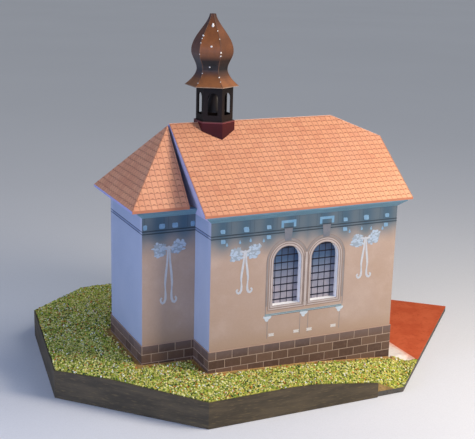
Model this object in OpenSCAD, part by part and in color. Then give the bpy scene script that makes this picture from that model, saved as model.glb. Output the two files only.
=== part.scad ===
// Small chapel: a printed card model glued to a landscaped board.
// +X runs along the nave towards the entrance, +Y goes away from the near side wall, +Z is up.
// The origin is on the underside of the board, below the middle of the nave. Sizes in mm.

/* [Nave] */
// Length of the nave over its walls
nave_l = 100; // [70:1:150]
// Width of the nave over its walls
nave_w = 83; // [60:1:120]
// Height of the top of the plinth above the table
plinth_z = 25; // [20:0.5:40]
// Height of the walls from the plinth to the cornice
wall_h = 62.5; // [40:0.5:100]
// Thickness of the wall board
wall_t = 3; // [1:0.5:6]
// Thickness of the plinth's printed strips
plinth_t = 0.4; // [0.2:0.1:1.5]

/* [Nave roof] */
// Height of the roof's edge above the cornice's foot
eave_h = 4.6; // [3:0.1:10]
// Height of the ridge above the roof's edge
roof_rise = 34.4; // [20:0.2:60]
// Overhang of the roof beyond the side walls
eave_out = 3.8; // [1:0.1:10]
// Overhang beyond the gable wall
gable_out = 4.7; // [1:0.1:10]
// Overhang beyond the entrance wall
front_out = 6.2; // [1:0.1:12]
// Length of the small hip at the entrance end, in plan
hip_run = 22.4; // [10:0.2:40]
// Share of the slope that lies below the small hip
hip_share = 0.718; // [0.5:0.01:0.9]
// Thickness of the roof card
roof_t = 0.8; // [0.4:0.1:2]
// Thickness of the sloping cards under the rakes
cove_t = 0.5; // [0.3:0.1:1]

/* [Cornice] */
// Height of the cornice
cornice_h = 3.5; // [2:0.1:8]
// Projection of the cornice
cornice_out = 3.5; // [1:0.1:6]
// Height of the cornice's upright lip
cornice_lip = 0.5; // [0.2:0.1:2]

/* [Windows] */
// Width of the wall between the two windows
pier_w = 5.6; // [4:0.1:20]
// Width of a window opening
window_w = 14.8; // [8:0.2:20]
// Height of a window opening to the top of its arch
window_h = 29.1; // [15:0.2:45]
// Height of the sill above the plinth
sill_h = 18.9; // [8:0.1:30]
// Thickness of the printed panes
pane_t = 0.5; // [0.3:0.1:2]
// How far a pane reaches past its opening
pane_lap = 1.8; // [1:0.1:4]

/* [Entrance] */
// Width of the doorway
door_w = 20; // [10:0.5:30]
// Height of the doorway to the top of its arch
door_h = 42; // [20:0.5:60]
// Height of the step's top above the table
step_z = 9; // [8.5:0.1:14]
// Depth of the step
step_d = 8; // [4:0.5:15]
// Width of the step
step_w = 27; // [15:0.5:40]

/* [Chancel] */
// Length of the chancel
chancel_l = 26.5; // [18:0.5:45]
// Width of the chancel
chancel_w = 46; // [30:0.5:70]
// Height of the chancel roof's edge above the cornice's foot
chancel_eave_h = 5.3; // [4:0.1:10]
// Height of its apex above that edge
chancel_rise = 32.9; // [20:0.1:60]
// Overhang past the side walls
chancel_side_out = 5.8; // [3.6:0.1:10]
// Overhang past the end wall
chancel_end_out = 6.7; // [3.6:0.1:10]
// Clear space between the chancel roof and the nave roof's edge
chancel_gap = 0.7; // [0.2:0.1:3]
// Thickness of the chancel's ceiling card
ceiling_t = 0.6; // [0.4:0.1:2]

/* [Turret] */
// Distance of the turret's middle from the nave's gable wall
turret_in = 18.7; // [14:0.1:60]
// Width of the ledge round the lantern's foot, at its corners
ledge_w = 1; // [0.2:0.05:4]
// Height of the top of the base above the ridge
base_up = 1; // [0.6:0.1:6]
// Corner radius of the lantern
lantern_r = 8.95; // [5:0.05:13]
// Height of the lantern
lantern_h = 18.3; // [12:0.1:30]
// Thickness of the lantern and base card
turret_t = 0.4; // [0.3:0.1:1.5]
// Width of a lantern opening
light_w = 4.8; // [2:0.1:6]
// Height of a lantern opening to the top of its arch
light_h = 10.6; // [6:0.1:15]
// Height of the openings above the lantern's foot
light_up = 3; // [1:0.1:6]

/* [Onion dome] */
// Sideways offset of the dome on the lantern
dome_off = -1.6; // [-2.5:0.1:2.5]
// How far the rim's corners reach past the lantern's corners
rim_out = 4.25; // [2:0.05:10]
// How far the waist's corners lie inside the lantern's corners
waist_in = 1.55; // [0.5:0.05:4]
// How far the bulge's corners reach past the waist's corners
bulge_out = 2.75; // [1:0.05:6]
// Corner radius of the tip
tip_r = 1.45; // [1.2:0.05:3]
// Height of the waist above the rim
waist_h = 7.8; // [4:0.1:15]
// Height of the bulge above the waist
bulge_h = 8.6; // [4:0.1:15]
// Height of the tip above the bulge
tip_h = 17.3; // [8:0.1:30]
// How hollow the skirt is, from 1 for straight
skirt_curve = 1.75; // [1:0.05:3]
// How drawn out the tip is
tip_curve = 1.55; // [1:0.05:2.5]
// Thickness of the dome's card
dome_t = 0.4; // [0.3:0.05:1]

/* [Bell] */
// Radius of the bell's mouth
bell_r = 5; // [3:0.1:6]
// Height of the bell
bell_h = 10; // [6:0.1:13]
// Height of the bell's mouth above the lantern's foot
bell_up = 4; // [1:0.1:8]
// Thickness of the bell
bell_t = 0.5; // [0.3:0.05:1]
// Height of the bell's upright lip
bell_lip = 0.5; // [0.2:0.1:1.5]
// Radius of the bell's shoulder
bell_shoulder_r = 2.5; // [1.8:0.1:4]
// Radius of the bell's crown
bell_crown_r = 1.5; // [1:0.1:3]
// Radius of the bell's hanger
hanger_r = 0.5; // [0.3:0.1:1]

/* [Board and ground] */
// Thickness of the board
board_t = 2.5; // [1.5:0.1:6]
// Width of ground in front of the near side wall
near_margin = 25.5; // [10:0.5:60]
// Width of ground behind the far side wall
far_margin = 60; // [20:0.5:90]
// Length of ground past the chancel's end wall
left_margin = 38.5; // [15:0.5:80]
// Length of ground past the entrance wall
front_margin = 82; // [40:0.5:120]
// Height of the ground at the chancel
ground_chancel = 15.5; // [10:0.1:24]
// Height of the ground at the nave's corner by the chancel
ground_left = 14.2; // [9:0.1:24]
// Height of the ground halfway along the nave
ground_mid = 11.9; // [8:0.1:24]
// Height of the ground at the nave's entrance corner
ground_right = 7.4; // [5:0.1:20]
// Height of the ground at the near edge
ground_near = 12.6; // [5:0.1:20]
// Height of the ground at the left edge
ground_edge = 13.6; // [5:0.1:20]
// Height of the near edge where its strip ends
ground_end = 7.1; // [4:0.1:20]
// How far the near edge runs past the gable wall
near_past = 10.7; // [2:0.1:30]
// How far the near edge stops short of the entrance wall
near_short = 6.8; // [0:0.1:30]
// How far the right tip lies in front of the far wall
tip_in = 21.5; // [5:0.5:60]
// How far the back edge stops short of the entrance wall
back_short = 10; // [0:0.5:40]
// How far the back edge runs past the gable wall
back_past = 19; // [5:0.5:40]
// Size of the back left corner's cut along X
cut_x = 10.5; // [4:0.5:30]
// Size of that cut along Y
cut_y = 31; // [10:0.5:60]
// How far the left edge's near end lies behind the near wall
left_in = 31.1; // [10:0.1:60]
// Rise of the ground's near edge along the left half of the nave
near_rise = 0.3; // [0:0.1:2]
// Length of nave before the near edge starts to fall
fall_start = 37; // [10:0.5:60]
// Height of the near edge there above its height at the left
fall_rise = 0.5; // [0:0.1:3]
// How far the near strip stops short of the entrance wall
strip_short = 22; // [5:0.5:60]
// How far the ground's near edge stops short of the entrance wall
foot_short = 12; // [2:0.5:60]
// Height of the bank above the nave's entrance corner
bank_up = 0.5; // [0:0.1:3]
// Thickness of the strips round the board
strip_t = 0.8; // [0.4:0.1:2]
// Height of the strips above the ground they hold
strip_up = 0.2; // [0:0.1:2]
// Thickness of the turf
turf_t = 0.6; // [0.3:0.1:2]
// Width of bare earth round the walls
earth_w = 1.6; // [0.5:0.1:6]
// Thickness of the bare earth
earth_t = 0.3; // [0.2:0.1:1]
// Distance from the entrance wall to the paving sheet
ramp_l = 18.5; // [10:0.5:40]
// Thickness of the paving sheet
paving_t = 0.4; // [0.2:0.1:1]
// Thickness of the plaster on the ramp
ramp_t = 0.4; // [0.2:0.1:1]

/* [Hidden] */

nx = nave_l / 2;
ny = nave_w / 2;
cx = nx + chancel_l;
cy = chancel_w / 2;
cornice_z = plinth_z + wall_h;
window_gap = window_w + pier_w;
big = 3 * (nave_l + nave_w + front_margin);

// A plane z = a x + b y + c is kept as [a, b, c].
function plane3(p, q, r) = let (n = cross(q - p, r - p))
  [-n[0] / n[2], -n[1] / n[2], (n * p) / n[2]];
function flip(p) = [p[0], -p[1], p[2]];
function lifted(p, up) = [p[0], p[1], p[2] + up];
function height_at(p, x, y) = p[0] * x + p[1] * y + p[2];
function slope_len(p) = sqrt(1 + p[0] * p[0] + p[1] * p[1]);

// Nave roof: the eave, the ridge and the small hip.
eave_z = cornice_z + eave_h;
ridge_z = eave_z + roof_rise;
eave_y = -ny - eave_out;
gable_x = -nx - gable_out;
front_x = nx + front_out;
hip_y = eave_y * (1 - hip_share);
hip_z = eave_z + hip_share * roof_rise;
hip_x = front_x - hip_run;
near_pl = [0, roof_rise / -eave_y, ridge_z];
far_pl = flip(near_pl);
hip_pl = plane3([hip_x, 0, ridge_z], [front_x, hip_y, hip_z], [front_x, -hip_y, hip_z]);
near_in = lifted(near_pl, -roof_t * slope_len(near_pl));
far_in = flip(near_in);
hip_in = lifted(hip_pl, -roof_t * slope_len(hip_pl));

// Underside of the sloping card below a rake: it leaves the wall at the cornice's foot and
// meets the cornice's mitre.
cove_top = height_at(near_in, 0, -ny) - cornice_z;
cove_foot = height_at(near_in, 0, -ny - cornice_out) - cornice_z - cornice_h;
cove_fall = (cove_top - cove_foot) / cornice_out;
cove_reach = cove_top / cove_fall;
cove_pl = [cove_fall, near_in[1], near_in[2] - cove_top - cove_fall * nx];
cove_in = lifted(cove_pl, cove_t * slope_len(cove_pl));

// Chancel roof: three faces of a pyramid.
ch_eave_z = cornice_z + chancel_eave_h;
ch_top_z = ch_eave_z + chancel_rise;
ch_top_x = gable_x - chancel_gap;
ch_eave_y = -cy - chancel_side_out;
ch_end_x = -cx - chancel_end_out;
ch_near_pl = plane3([ch_end_x, ch_eave_y, ch_eave_z], [ch_top_x, ch_eave_y, ch_eave_z],
  [ch_top_x, 0, ch_top_z]);
ch_far_pl = flip(ch_near_pl);
ch_end_pl = plane3([ch_end_x, ch_eave_y, ch_eave_z], [ch_end_x, -ch_eave_y, ch_eave_z],
  [ch_top_x, 0, ch_top_z]);
ch_near_in = lifted(ch_near_pl, -roof_t * slope_len(ch_near_pl));
ch_far_in = flip(ch_near_in);
ch_end_in = lifted(ch_end_pl, -roof_t * slope_len(ch_end_pl));

// Turret.
tx = -nx + turret_in;
foot_z = ridge_z + base_up;
base_r = lantern_r + ledge_w;
rim_r = lantern_r + rim_out;
waist_r = lantern_r - waist_in;
bulge_r = waist_r + bulge_out;

// Board outline, anticlockwise from the near corner on the chancel's side.
y_near = -ny - near_margin;
y_far = ny + far_margin;
x_left = -cx - left_margin;
x_tip = nx + front_margin;
P = [[-nx - near_past, y_near], [nx - near_short, y_near], [x_tip, ny - tip_in],
  [nx - back_short, y_far], [-nx - back_past, y_far], [x_left + cut_x, y_far - cut_y],
  [x_left, -ny + left_in]];
function unit(v) = v / norm(v);
function out_n(i) = let (d = unit(P[(i + 1) % 7] - P[i])) [d[1], -d[0]];
function mitre(i) = let (a = out_n((i + 6) % 7), b = out_n(i)) P[i] + strip_t * (a + b) / (1 + a * b);
strip_end = nx - strip_short;

// Ground: the lowest of these planes at every point.
G = [
  [0, 0, ground_chancel],
  [(ground_mid - ground_left) / nx, 0, ground_mid],
  [(ground_right - ground_mid) / nx, 0, ground_mid],
  plane3([-nx, y_near, ground_near], [0, y_near, ground_near + near_rise], [-nx, -ny, ground_left]),
  plane3([x_left, 0, ground_edge], [x_left, ny, ground_edge], [-cx, 0, ground_chancel]),
  plane3([0, ny, ground_chancel], [nx, ny, ground_chancel], [0, y_far, ground_near]),
  plane3([-nx + fall_start, y_near, ground_near + fall_rise], [strip_end, y_near, ground_end],
    [nx, -ny, ground_right]),
  plane3([strip_end, y_near, ground_end], [nx - foot_short, y_near, board_t],
    [nx, -ny, ground_right + bank_up]),
  plane3([nx, 0, ground_right], [nx, ny, ground_right], [nx + ramp_l, 0, board_t])];

// Everything under a plane.
module below(p) {
  translate([0, 0, p[2]])
    rotate([0, 0, atan2(p[1], p[0])])
      rotate([0, -atan(sqrt(p[0] * p[0] + p[1] * p[1])), 0])
        translate([-big, -big, -big])
          cube([2 * big, 2 * big, big]);
}

// A layer of card under plane p, over a shape in plan.
module layer(p, q, low, high) {
  intersection() {
    difference() {
      below(p);
      below(q);
    }
    translate([0, 0, low])
      linear_extrude(height = high - low)
        children();
  }
}

module outline() {
  polygon(P);
}

// The landform, raised by lift.
module land(lift) {
  intersection() {
    linear_extrude(height = ground_chancel + 5)
      outline();
    for_planes(lift);
  }
}

module for_planes(lift) {
  intersection_for(g = G)
    below(lifted(g, lift));
}

// Ground surface with the board where the landform runs out.
module ground(lift) {
  land(lift);
  linear_extrude(height = board_t + lift)
    outline();
}

module foot_plan(grow) {
  translate([-nx - grow, -ny - grow])
    square([nave_l + 2 * grow, nave_w + 2 * grow]);
  translate([-cx - grow, -cy - grow])
    square([chancel_l + grow, chancel_w + 2 * grow]);
}

module ramp_plan() {
  translate([nx, -ny])
    square([ramp_l, nave_w]);
}

module right_of(x) {
  translate([x, -big / 2])
    square([big, big]);
}

// A skin of the ground, over a shape in plan.
module skin(t) {
  intersection() {
    difference() {
      ground(t);
      ground(0);
    }
    translate([0, 0, board_t])
      linear_extrude(height = ground_chancel + 5)
        children();
  }
}

module base_board() {
  color([0.45, 0.42, 0.38])
    linear_extrude(height = board_t)
      outline();
}

module landform() {
  color([0.5, 0.43, 0.33])
    difference() {
      land(0);
      translate([-big / 2, -big / 2, -1])
        cube([big, big, board_t + 1]);
    }
}

module turf() {
  color([0.62, 0.66, 0.3])
    skin(turf_t)
      difference() {
        outline();
        foot_plan(plinth_t + earth_w);
        ramp_plan();
        right_of(nx + ramp_l);
      }
}

module earth_strip() {
  color([0.5, 0.38, 0.26])
    skin(earth_t)
      difference() {
        foot_plan(plinth_t + earth_w);
        foot_plan(plinth_t);
        right_of(nx - 0.01);
      }
}

module paving_sheet() {
  color([0.82, 0.38, 0.24])
    skin(paving_t)
      intersection() {
        outline();
        right_of(nx + ramp_l);
      }
}

module plaster_ramp() {
  color([0.9, 0.88, 0.84])
    skin(ramp_t)
      difference() {
        ramp_plan();
        foot_plan(plinth_t);
        translate([nx, -step_w / 2])
          square([plinth_t + step_d, step_w]);
      }
}

// One strip on the board's edge i, as high as the ground beside it.
module edge_strip(i) {
  j = (i + 1) % 7;
  intersection() {
    linear_extrude(height = ground_chancel + 5)
      polygon([P[i], mitre(i), mitre(j), P[j]]);
    for_planes(strip_up);
  }
}

module edge_strip_near() {
  color([0.42, 0.38, 0.33])
    intersection() {
      edge_strip(0);
      translate([-big, -big, 0])
        cube([big + strip_end, 2 * big, big]);
    }
}

module edge_strip_near_left() {
  color([0.42, 0.38, 0.33])
    edge_strip(6);
}

module edge_strip_left() {
  color([0.42, 0.38, 0.33])
    edge_strip(5);
}

module edge_strip_back_left() {
  color([0.42, 0.38, 0.33])
    edge_strip(4);
}

module edge_strip_back() {
  color([0.42, 0.38, 0.33])
    edge_strip(3);
}

// An arched opening, centred on x, standing on z = 0 and cut along Y.
module arch(w, h, d) {
  translate([0, d / 2, 0])
    rotate([90, 0, 0])
      linear_extrude(height = d)
        union() {
          translate([-w / 2, 0])
            square([w, h - w / 2]);
          translate([0, h - w / 2])
            circle(r = w / 2, $fn = 64);
        }
}

module side_wall() {
  difference() {
    intersection() {
      translate([-nx, -ny, 0])
        cube([nave_l, wall_t, big]);
      below(near_in);
    }
    for (s = [-1, 1])
      translate([s * window_gap / 2, -ny, plinth_z + sill_h])
        arch(window_w, window_h, 4 * wall_t);
  }
}

module nave_wall_near() {
  color([0.66, 0.56, 0.5])
    difference() {
      side_wall();
      ground(0);
    }
}

module nave_wall_far() {
  color([0.66, 0.56, 0.5])
    difference() {
      mirror([0, 1, 0])
        side_wall();
      ground(0);
    }
}

module end_wall_blank(x) {
  intersection() {
    translate([x, -ny + wall_t, 0])
      cube([wall_t, nave_w - 2 * wall_t, big]);
    below(near_in);
    below(far_in);
    below(hip_in);
  }
}

module nave_gable_wall() {
  color([0.6, 0.54, 0.56])
    difference() {
      end_wall_blank(-nx);
      ground(0);
    }
}

module doorway(d) {
  translate([nx, 0, step_z])
    rotate([0, 0, 90])
      arch(door_w, door_h, d);
}

module nave_front_wall() {
  color([0.66, 0.56, 0.5])
    difference() {
      end_wall_blank(nx - wall_t);
      ground(0);
      doorway(4 * wall_t);
    }
}

// A plinth strip between two corners in plan, and its mirror image if both is 1.
module plinth_run(x0, y0, x1, y1, both) {
  difference() {
    for (s = [0:both])
      mirror([0, s, 0])
        translate([x0, y0, 0])
          cube([x1 - x0, y1 - y0, plinth_z]);
    ground(0);
  }
}

module nave_plinth_sides() {
  color([0.36, 0.27, 0.22])
    plinth_run(-nx, -ny - plinth_t, nx, -ny, 1);
}

module nave_plinth_gable() {
  color([0.36, 0.27, 0.22])
    plinth_run(-nx - plinth_t, -ny - plinth_t, -nx, -cy - plinth_t, 1);
}

module nave_plinth_front() {
  color([0.36, 0.27, 0.22])
    plinth_run(nx, -ny - plinth_t, nx + plinth_t, -step_w / 2, 1);
}

module window_panes() {
  color([0.3, 0.33, 0.42])
    for (m = [0, 1])
      mirror([0, m, 0])
        for (s = [-1, 1])
          translate([s * window_gap / 2 - window_w / 2 - pane_lap, -ny + wall_t, plinth_z + sill_h - pane_lap])
            cube([window_w + 2 * pane_lap, pane_t, window_h + 2 * pane_lap]);
}

module entrance_door() {
  color([0.35, 0.2, 0.12])
    difference() {
      translate([nx - wall_t - pane_t, -door_w / 2 - pane_lap, 0])
        cube([pane_t, door_w + 2 * pane_lap, step_z + door_h + pane_lap]);
      ground(0);
    }
}

module door_step() {
  color([0.72, 0.7, 0.66])
    difference() {
      translate([nx, -step_w / 2, 0])
        cube([plinth_t + step_d, step_w, step_z]);
      ground(0);
    }
}

// A length of cornice along X: wall face at y = 0, foot at z = 0. m0 and m1 mitre its ends.
module cornice_run(l, m0, m1) {
  intersection() {
    translate([-l / 2 - cornice_out, 0, 0])
      rotate([90, 0, 90])
        linear_extrude(height = l + 2 * cornice_out)
          polygon([[0, 0], [0, cornice_h], [-cornice_out, cornice_h], [-cornice_out, cornice_h - cornice_lip]]);
    linear_extrude(height = cornice_h)
      polygon([[-l / 2, 0], [-l / 2 - m0 * cornice_out, -cornice_out],
        [l / 2 + m1 * cornice_out, -cornice_out], [l / 2, 0]]);
  }
}

module nave_cornice_sides() {
  color([0.36, 0.5, 0.58])
    for (s = [0, 1])
      mirror([0, s, 0])
        translate([0, -ny, cornice_z])
          cornice_run(nave_l, 1, 1);
}

module nave_cornice_front() {
  color([0.36, 0.5, 0.58])
    translate([nx, 0, cornice_z])
      rotate([0, 0, 90])
        cornice_run(nave_w, 1, 1);
}

module slope_near() {
  layer(near_pl, near_in, cornice_z, ridge_z + 1)
    polygon([[gable_x, eave_y], [front_x, eave_y], [front_x, hip_y], [hip_x, 0], [gable_x, 0]]);
}

module nave_roof_near() {
  color([0.93, 0.6, 0.45])
    slope_near();
}

module nave_roof_far() {
  color([0.93, 0.6, 0.45])
    mirror([0, 1, 0])
      slope_near();
}

module nave_half_hip() {
  color([0.93, 0.6, 0.45])
    layer(hip_pl, hip_in, cornice_z, ridge_z + 1)
      polygon([[hip_x, 0], [front_x, hip_y], [front_x, -hip_y]]);
}

// The card below one rake at the entrance end, above the height foot.
module cove(foot) {
  intersection() {
    layer(cove_in, cove_pl, foot, ridge_z)
      translate([nx, eave_y])
        square([cove_reach, -eave_y]);
    below(near_in);
    translate([0, 0, cornice_z])
      linear_extrude(height = big)
        polygon([[nx, -ny], [nx + big, -ny - big], [nx + big, 0], [nx, 0]]);
  }
}

// At the entrance end the coves stand on the front cornice and stop at the small hip.
module rake_coves() {
  color([0.6, 0.6, 0.72])
    for (s = [0, 1])
      mirror([0, s, 0]) {
        mirror([1, 0, 0])
          cove(cornice_z);
        intersection() {
          cove(cornice_z + cornice_h);
          below(hip_in);
        }
      }
}

module chancel_side() {
  translate([-cx, -cy, 0])
    cube([chancel_l, wall_t, cornice_z + cornice_h]);
  intersection() {
    translate([-cx, -cy, 0])
      cube([cx + ch_top_x, wall_t, big]);
    below(ch_near_in);
    below(ch_end_in);
  }
}

module chancel_wall_near() {
  color([0.6, 0.54, 0.52])
    difference() {
      chancel_side();
      ground(0);
    }
}

module chancel_wall_far() {
  color([0.6, 0.54, 0.52])
    difference() {
      mirror([0, 1, 0])
        chancel_side();
      ground(0);
    }
}

module chancel_wall_end() {
  color([0.6, 0.54, 0.56])
    difference() {
      intersection() {
        translate([-cx, -cy + wall_t, 0])
          cube([wall_t, chancel_w - 2 * wall_t, big]);
        below(ch_near_in);
        below(ch_far_in);
        below(ch_end_in);
      }
      ground(0);
    }
}

module chancel_plinth_sides() {
  color([0.36, 0.27, 0.22])
    plinth_run(-cx, -cy - plinth_t, -nx, -cy, 1);
}

module chancel_plinth_end() {
  color([0.36, 0.27, 0.22])
    plinth_run(-cx - plinth_t, -cy - plinth_t, -cx, cy + plinth_t, 0);
}

module chancel_cornice_sides() {
  color([0.36, 0.5, 0.58])
    for (s = [0, 1])
      mirror([0, s, 0])
        translate([-nx - chancel_l / 2, -cy, cornice_z])
          cornice_run(chancel_l, 1, 0);
}

module chancel_cornice_end() {
  color([0.36, 0.5, 0.58])
    translate([-cx, 0, cornice_z])
      rotate([0, 0, -90])
        cornice_run(chancel_w, 1, 1);
}

module chancel_ceiling() {
  color([0.6, 0.6, 0.66])
    translate([-cx + wall_t, -cy + wall_t, cornice_z + cornice_h - ceiling_t])
      cube([chancel_l - wall_t, chancel_w - 2 * wall_t, ceiling_t]);
}

module chancel_slope() {
  layer(ch_near_pl, ch_near_in, cornice_z, ch_top_z + 1)
    polygon([[ch_end_x, ch_eave_y], [ch_top_x, ch_eave_y], [ch_top_x, 0]]);
}

module chancel_roof_near() {
  color([0.93, 0.6, 0.45])
    chancel_slope();
}

module chancel_roof_far() {
  color([0.93, 0.6, 0.45])
    mirror([0, 1, 0])
      chancel_slope();
}

module chancel_roof_end() {
  color([0.6, 0.4, 0.4])
    layer(ch_end_pl, ch_end_in, cornice_z, ch_top_z + 1)
      polygon([[ch_end_x, ch_eave_y], [ch_top_x, 0], [ch_end_x, -ch_eave_y]]);
}

// A hexagon with a corner towards -Y.
module hexagon(r) {
  rotate(90)
    circle(r = r, $fn = 6);
}

function inner(r, t) = r - t / cos(30);

module turret_base() {
  color([0.33, 0.13, 0.18])
    translate([tx, 0, 0])
      difference() {
        translate([0, 0, cornice_z])
          linear_extrude(height = foot_z - turret_t - cornice_z)
            difference() {
              hexagon(base_r);
              hexagon(inner(base_r, turret_t));
            }
        intersection() {
          below(near_pl);
          below(far_pl);
        }
      }
}

module lantern_floor() {
  color([0.45, 0.2, 0.24])
    translate([tx, 0, foot_z - turret_t])
      linear_extrude(height = turret_t)
        hexagon(base_r);
}

module lantern_wall() {
  color([0.16, 0.12, 0.12])
    translate([tx, 0, foot_z])
      difference() {
        linear_extrude(height = lantern_h)
          difference() {
            hexagon(lantern_r);
            hexagon(inner(lantern_r, turret_t));
          }
        for (k = [0:2])
          rotate([0, 0, 60 * k])
            translate([0, 0, light_up])
              rotate([0, 0, 90])
                arch(light_w, light_h, 3 * lantern_r);
      }
}

module lantern_ceiling() {
  color([0.2, 0.15, 0.14])
    translate([tx, 0, foot_z + lantern_h - turret_t])
      linear_extrude(height = turret_t)
        hexagon(inner(lantern_r, turret_t));
}

// Corner radius of the dome at each height above its rim.
lower = [for (i = [0:8]) let (t = i / 8) [waist_h * t, waist_r + (rim_r - waist_r) * pow(1 - t, skirt_curve)]];
middle = [for (i = [1:9]) let (t = i / 9) [waist_h + bulge_h * t, waist_r + (bulge_r - waist_r) * (1 - cos(180 * t)) / 2]];
upper = [for (i = [1:14]) let (t = i / 14)
  [waist_h + bulge_h + tip_h * t, tip_r + (bulge_r - tip_r) * pow(cos(90 * t), tip_curve)]];
curve = concat(lower, middle, upper);

// The dome sinks until the lantern's top edge meets the inside of its skirt.
seat_r = lantern_r + (abs(dome_off) + dome_t) / cos(30);
rim_z = foot_z + lantern_h - lookup(seat_r, [for (p = lower) [p[1], p[0]]]);

// Half of a gore's outline, drawn in by t and run on below the rim by d and above the tip by d.
function side(s, t, d) = [for (i = [0:len(curve) - 1])
  [s * (curve[i][1] * cos(30) - t), curve[i][0] + (i == 0 ? -d : 0) + (i == len(curve) - 1 ? d : 0)]];
function reversed(v) = [for (i = [len(v) - 1:-1:0]) v[i]];

module gores(t, d) {
  intersection_for(k = [0:2])
    rotate([0, 0, 60 * k + 30])
      rotate([90, 0, 90])
        translate([0, 0, -rim_r])
          linear_extrude(height = 2 * rim_r)
            polygon(concat(side(1, t, d), reversed(side(-1, t, d))));
}

module onion_dome() {
  color([0.4, 0.22, 0.14])
    translate([tx + dome_off, 0, rim_z])
      difference() {
        gores(0, 0);
        gores(dome_t, 0.01);
      }
}

// Height of the bell's skirt and of its shoulder, and the skirt's radius.
bell_skirt_h = bell_h * 0.3;
bell_shoulder_h = bell_h * 0.72;
bell_skirt_r = (bell_r + bell_shoulder_r) * 0.547;

// The bell's section, outside from mouth to crown and back down inside.
module bell() {
  color([0.2, 0.15, 0.12])
    translate([tx, 0, foot_z + bell_up])
      rotate_extrude($fn = 96)
        polygon([
          [bell_r, 0],
          [bell_r, bell_lip],
          [bell_skirt_r, bell_skirt_h],
          [bell_shoulder_r, bell_shoulder_h],
          [bell_crown_r, bell_h],
          [0, bell_h],
          [0, bell_h - bell_t],
          [bell_crown_r - bell_t, bell_h - bell_t],
          [bell_shoulder_r - bell_t, bell_shoulder_h],
          [bell_skirt_r - bell_t, bell_skirt_h],
          [bell_r - bell_t, 0]]);
}

module bell_hanger() {
  color([0.2, 0.15, 0.12])
    translate([tx, 0, foot_z + bell_up + bell_h])
      cylinder(r = hanger_r, h = lantern_h - turret_t - bell_up - bell_h, $fn = 48);
}

base_board();
landform();
turf();
earth_strip();
paving_sheet();
plaster_ramp();
edge_strip_near();
edge_strip_near_left();
edge_strip_left();
edge_strip_back_left();
edge_strip_back();
nave_wall_near();
nave_wall_far();
nave_gable_wall();
nave_front_wall();
nave_plinth_sides();
nave_plinth_gable();
nave_plinth_front();
window_panes();
entrance_door();
door_step();
nave_cornice_sides();
nave_cornice_front();
nave_roof_near();
nave_roof_far();
nave_half_hip();
rake_coves();
chancel_wall_near();
chancel_wall_far();
chancel_wall_end();
chancel_plinth_sides();
chancel_plinth_end();
chancel_cornice_sides();
chancel_cornice_end();
chancel_ceiling();
chancel_roof_near();
chancel_roof_far();
chancel_roof_end();
turret_base();
lantern_floor();
lantern_wall();
lantern_ceiling();
onion_dome();
bell();
bell_hanger();
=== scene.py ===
"""Looks of a small chapel, a printed card model on its landscaped board."""

import logging
import math
import random
from dataclasses import dataclass, field
from enum import Enum
from typing import Any, Sequence

import bmesh
import bpy
from mathutils import Matrix, Vector


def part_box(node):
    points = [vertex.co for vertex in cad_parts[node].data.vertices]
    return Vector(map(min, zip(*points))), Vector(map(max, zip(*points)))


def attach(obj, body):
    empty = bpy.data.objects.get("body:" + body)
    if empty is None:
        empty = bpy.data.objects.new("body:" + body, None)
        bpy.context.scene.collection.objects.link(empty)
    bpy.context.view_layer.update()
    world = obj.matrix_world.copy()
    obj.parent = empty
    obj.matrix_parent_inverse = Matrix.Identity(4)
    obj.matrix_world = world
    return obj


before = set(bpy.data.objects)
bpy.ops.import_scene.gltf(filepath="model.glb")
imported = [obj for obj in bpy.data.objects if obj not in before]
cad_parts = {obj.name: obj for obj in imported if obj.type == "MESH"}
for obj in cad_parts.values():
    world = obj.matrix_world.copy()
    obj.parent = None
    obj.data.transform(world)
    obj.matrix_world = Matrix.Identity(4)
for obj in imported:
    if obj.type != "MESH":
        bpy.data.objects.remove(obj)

log = logging.getLogger("chapel")
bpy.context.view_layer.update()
MM = 0.001
BODY = "root"
SUNK = 0.04  # how far printed relief reaches into the card under it, mm
ROOF_CARD = 0.8  # thickness of the roofs' card, mm
Ink = tuple[float, float, float, float]
Flat = tuple[float, float]


def ink(code: str) -> Ink:
    """The linear colour of a six-digit hex code."""
    parts = [int(code[i:i + 2], 16) / 255 for i in (0, 2, 4)]
    linear = [p / 12.92 if p <= 0.04045 else ((p + 0.055) / 1.055) ** 2.4 for p in parts]
    return (linear[0], linear[1], linear[2], 1.0)


def span(node: str) -> tuple[Vector, Vector]:
    """The lowest and highest corners of a CAD node, in mm."""
    low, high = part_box(node)
    return low / MM, high / MM


class Graph:
    """A node tree that is built from plain calls."""

    def __init__(self, tree: bpy.types.NodeTree) -> None:
        """Keeps the tree that the nodes go into."""
        self.tree = tree

    def node(self, kind: str, settings: dict[str, Any] | None = None,
             values: dict[Any, Any] | None = None) -> bpy.types.Node:
        """Adds one node.

        Args:
            kind: Blender's name for the type of node.
            settings: Properties that are set first; "stops" fills a colour ramp.
            values: Numbers, colours or links for its sockets, by name or place.

        Returns:
            The new node.
        """
        made = self.tree.nodes.new(kind)
        for key, value in (settings or {}).items():
            if key == "stops":
                stops = made.color_ramp.elements
                stops.remove(stops[-1])
                stops[0].position, stops[0].color = value[0]
                for place, colour in value[1:]:
                    stops.new(place).color = colour
            else:
                setattr(made, key, value)
        for key, value in (values or {}).items():
            value = getattr(value, "out", value)
            if isinstance(value, bpy.types.NodeSocket):
                self.tree.links.new(value, made.inputs[key])
            else:
                made.inputs[key].default_value = value
        return made

    def maths(self, operation: str, *terms: Any) -> "Value":
        """Adds one Math node over its terms."""
        made = self.node("ShaderNodeMath", {"operation": operation}, dict(enumerate(terms)))
        return Value(self, made.outputs[0])


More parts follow.
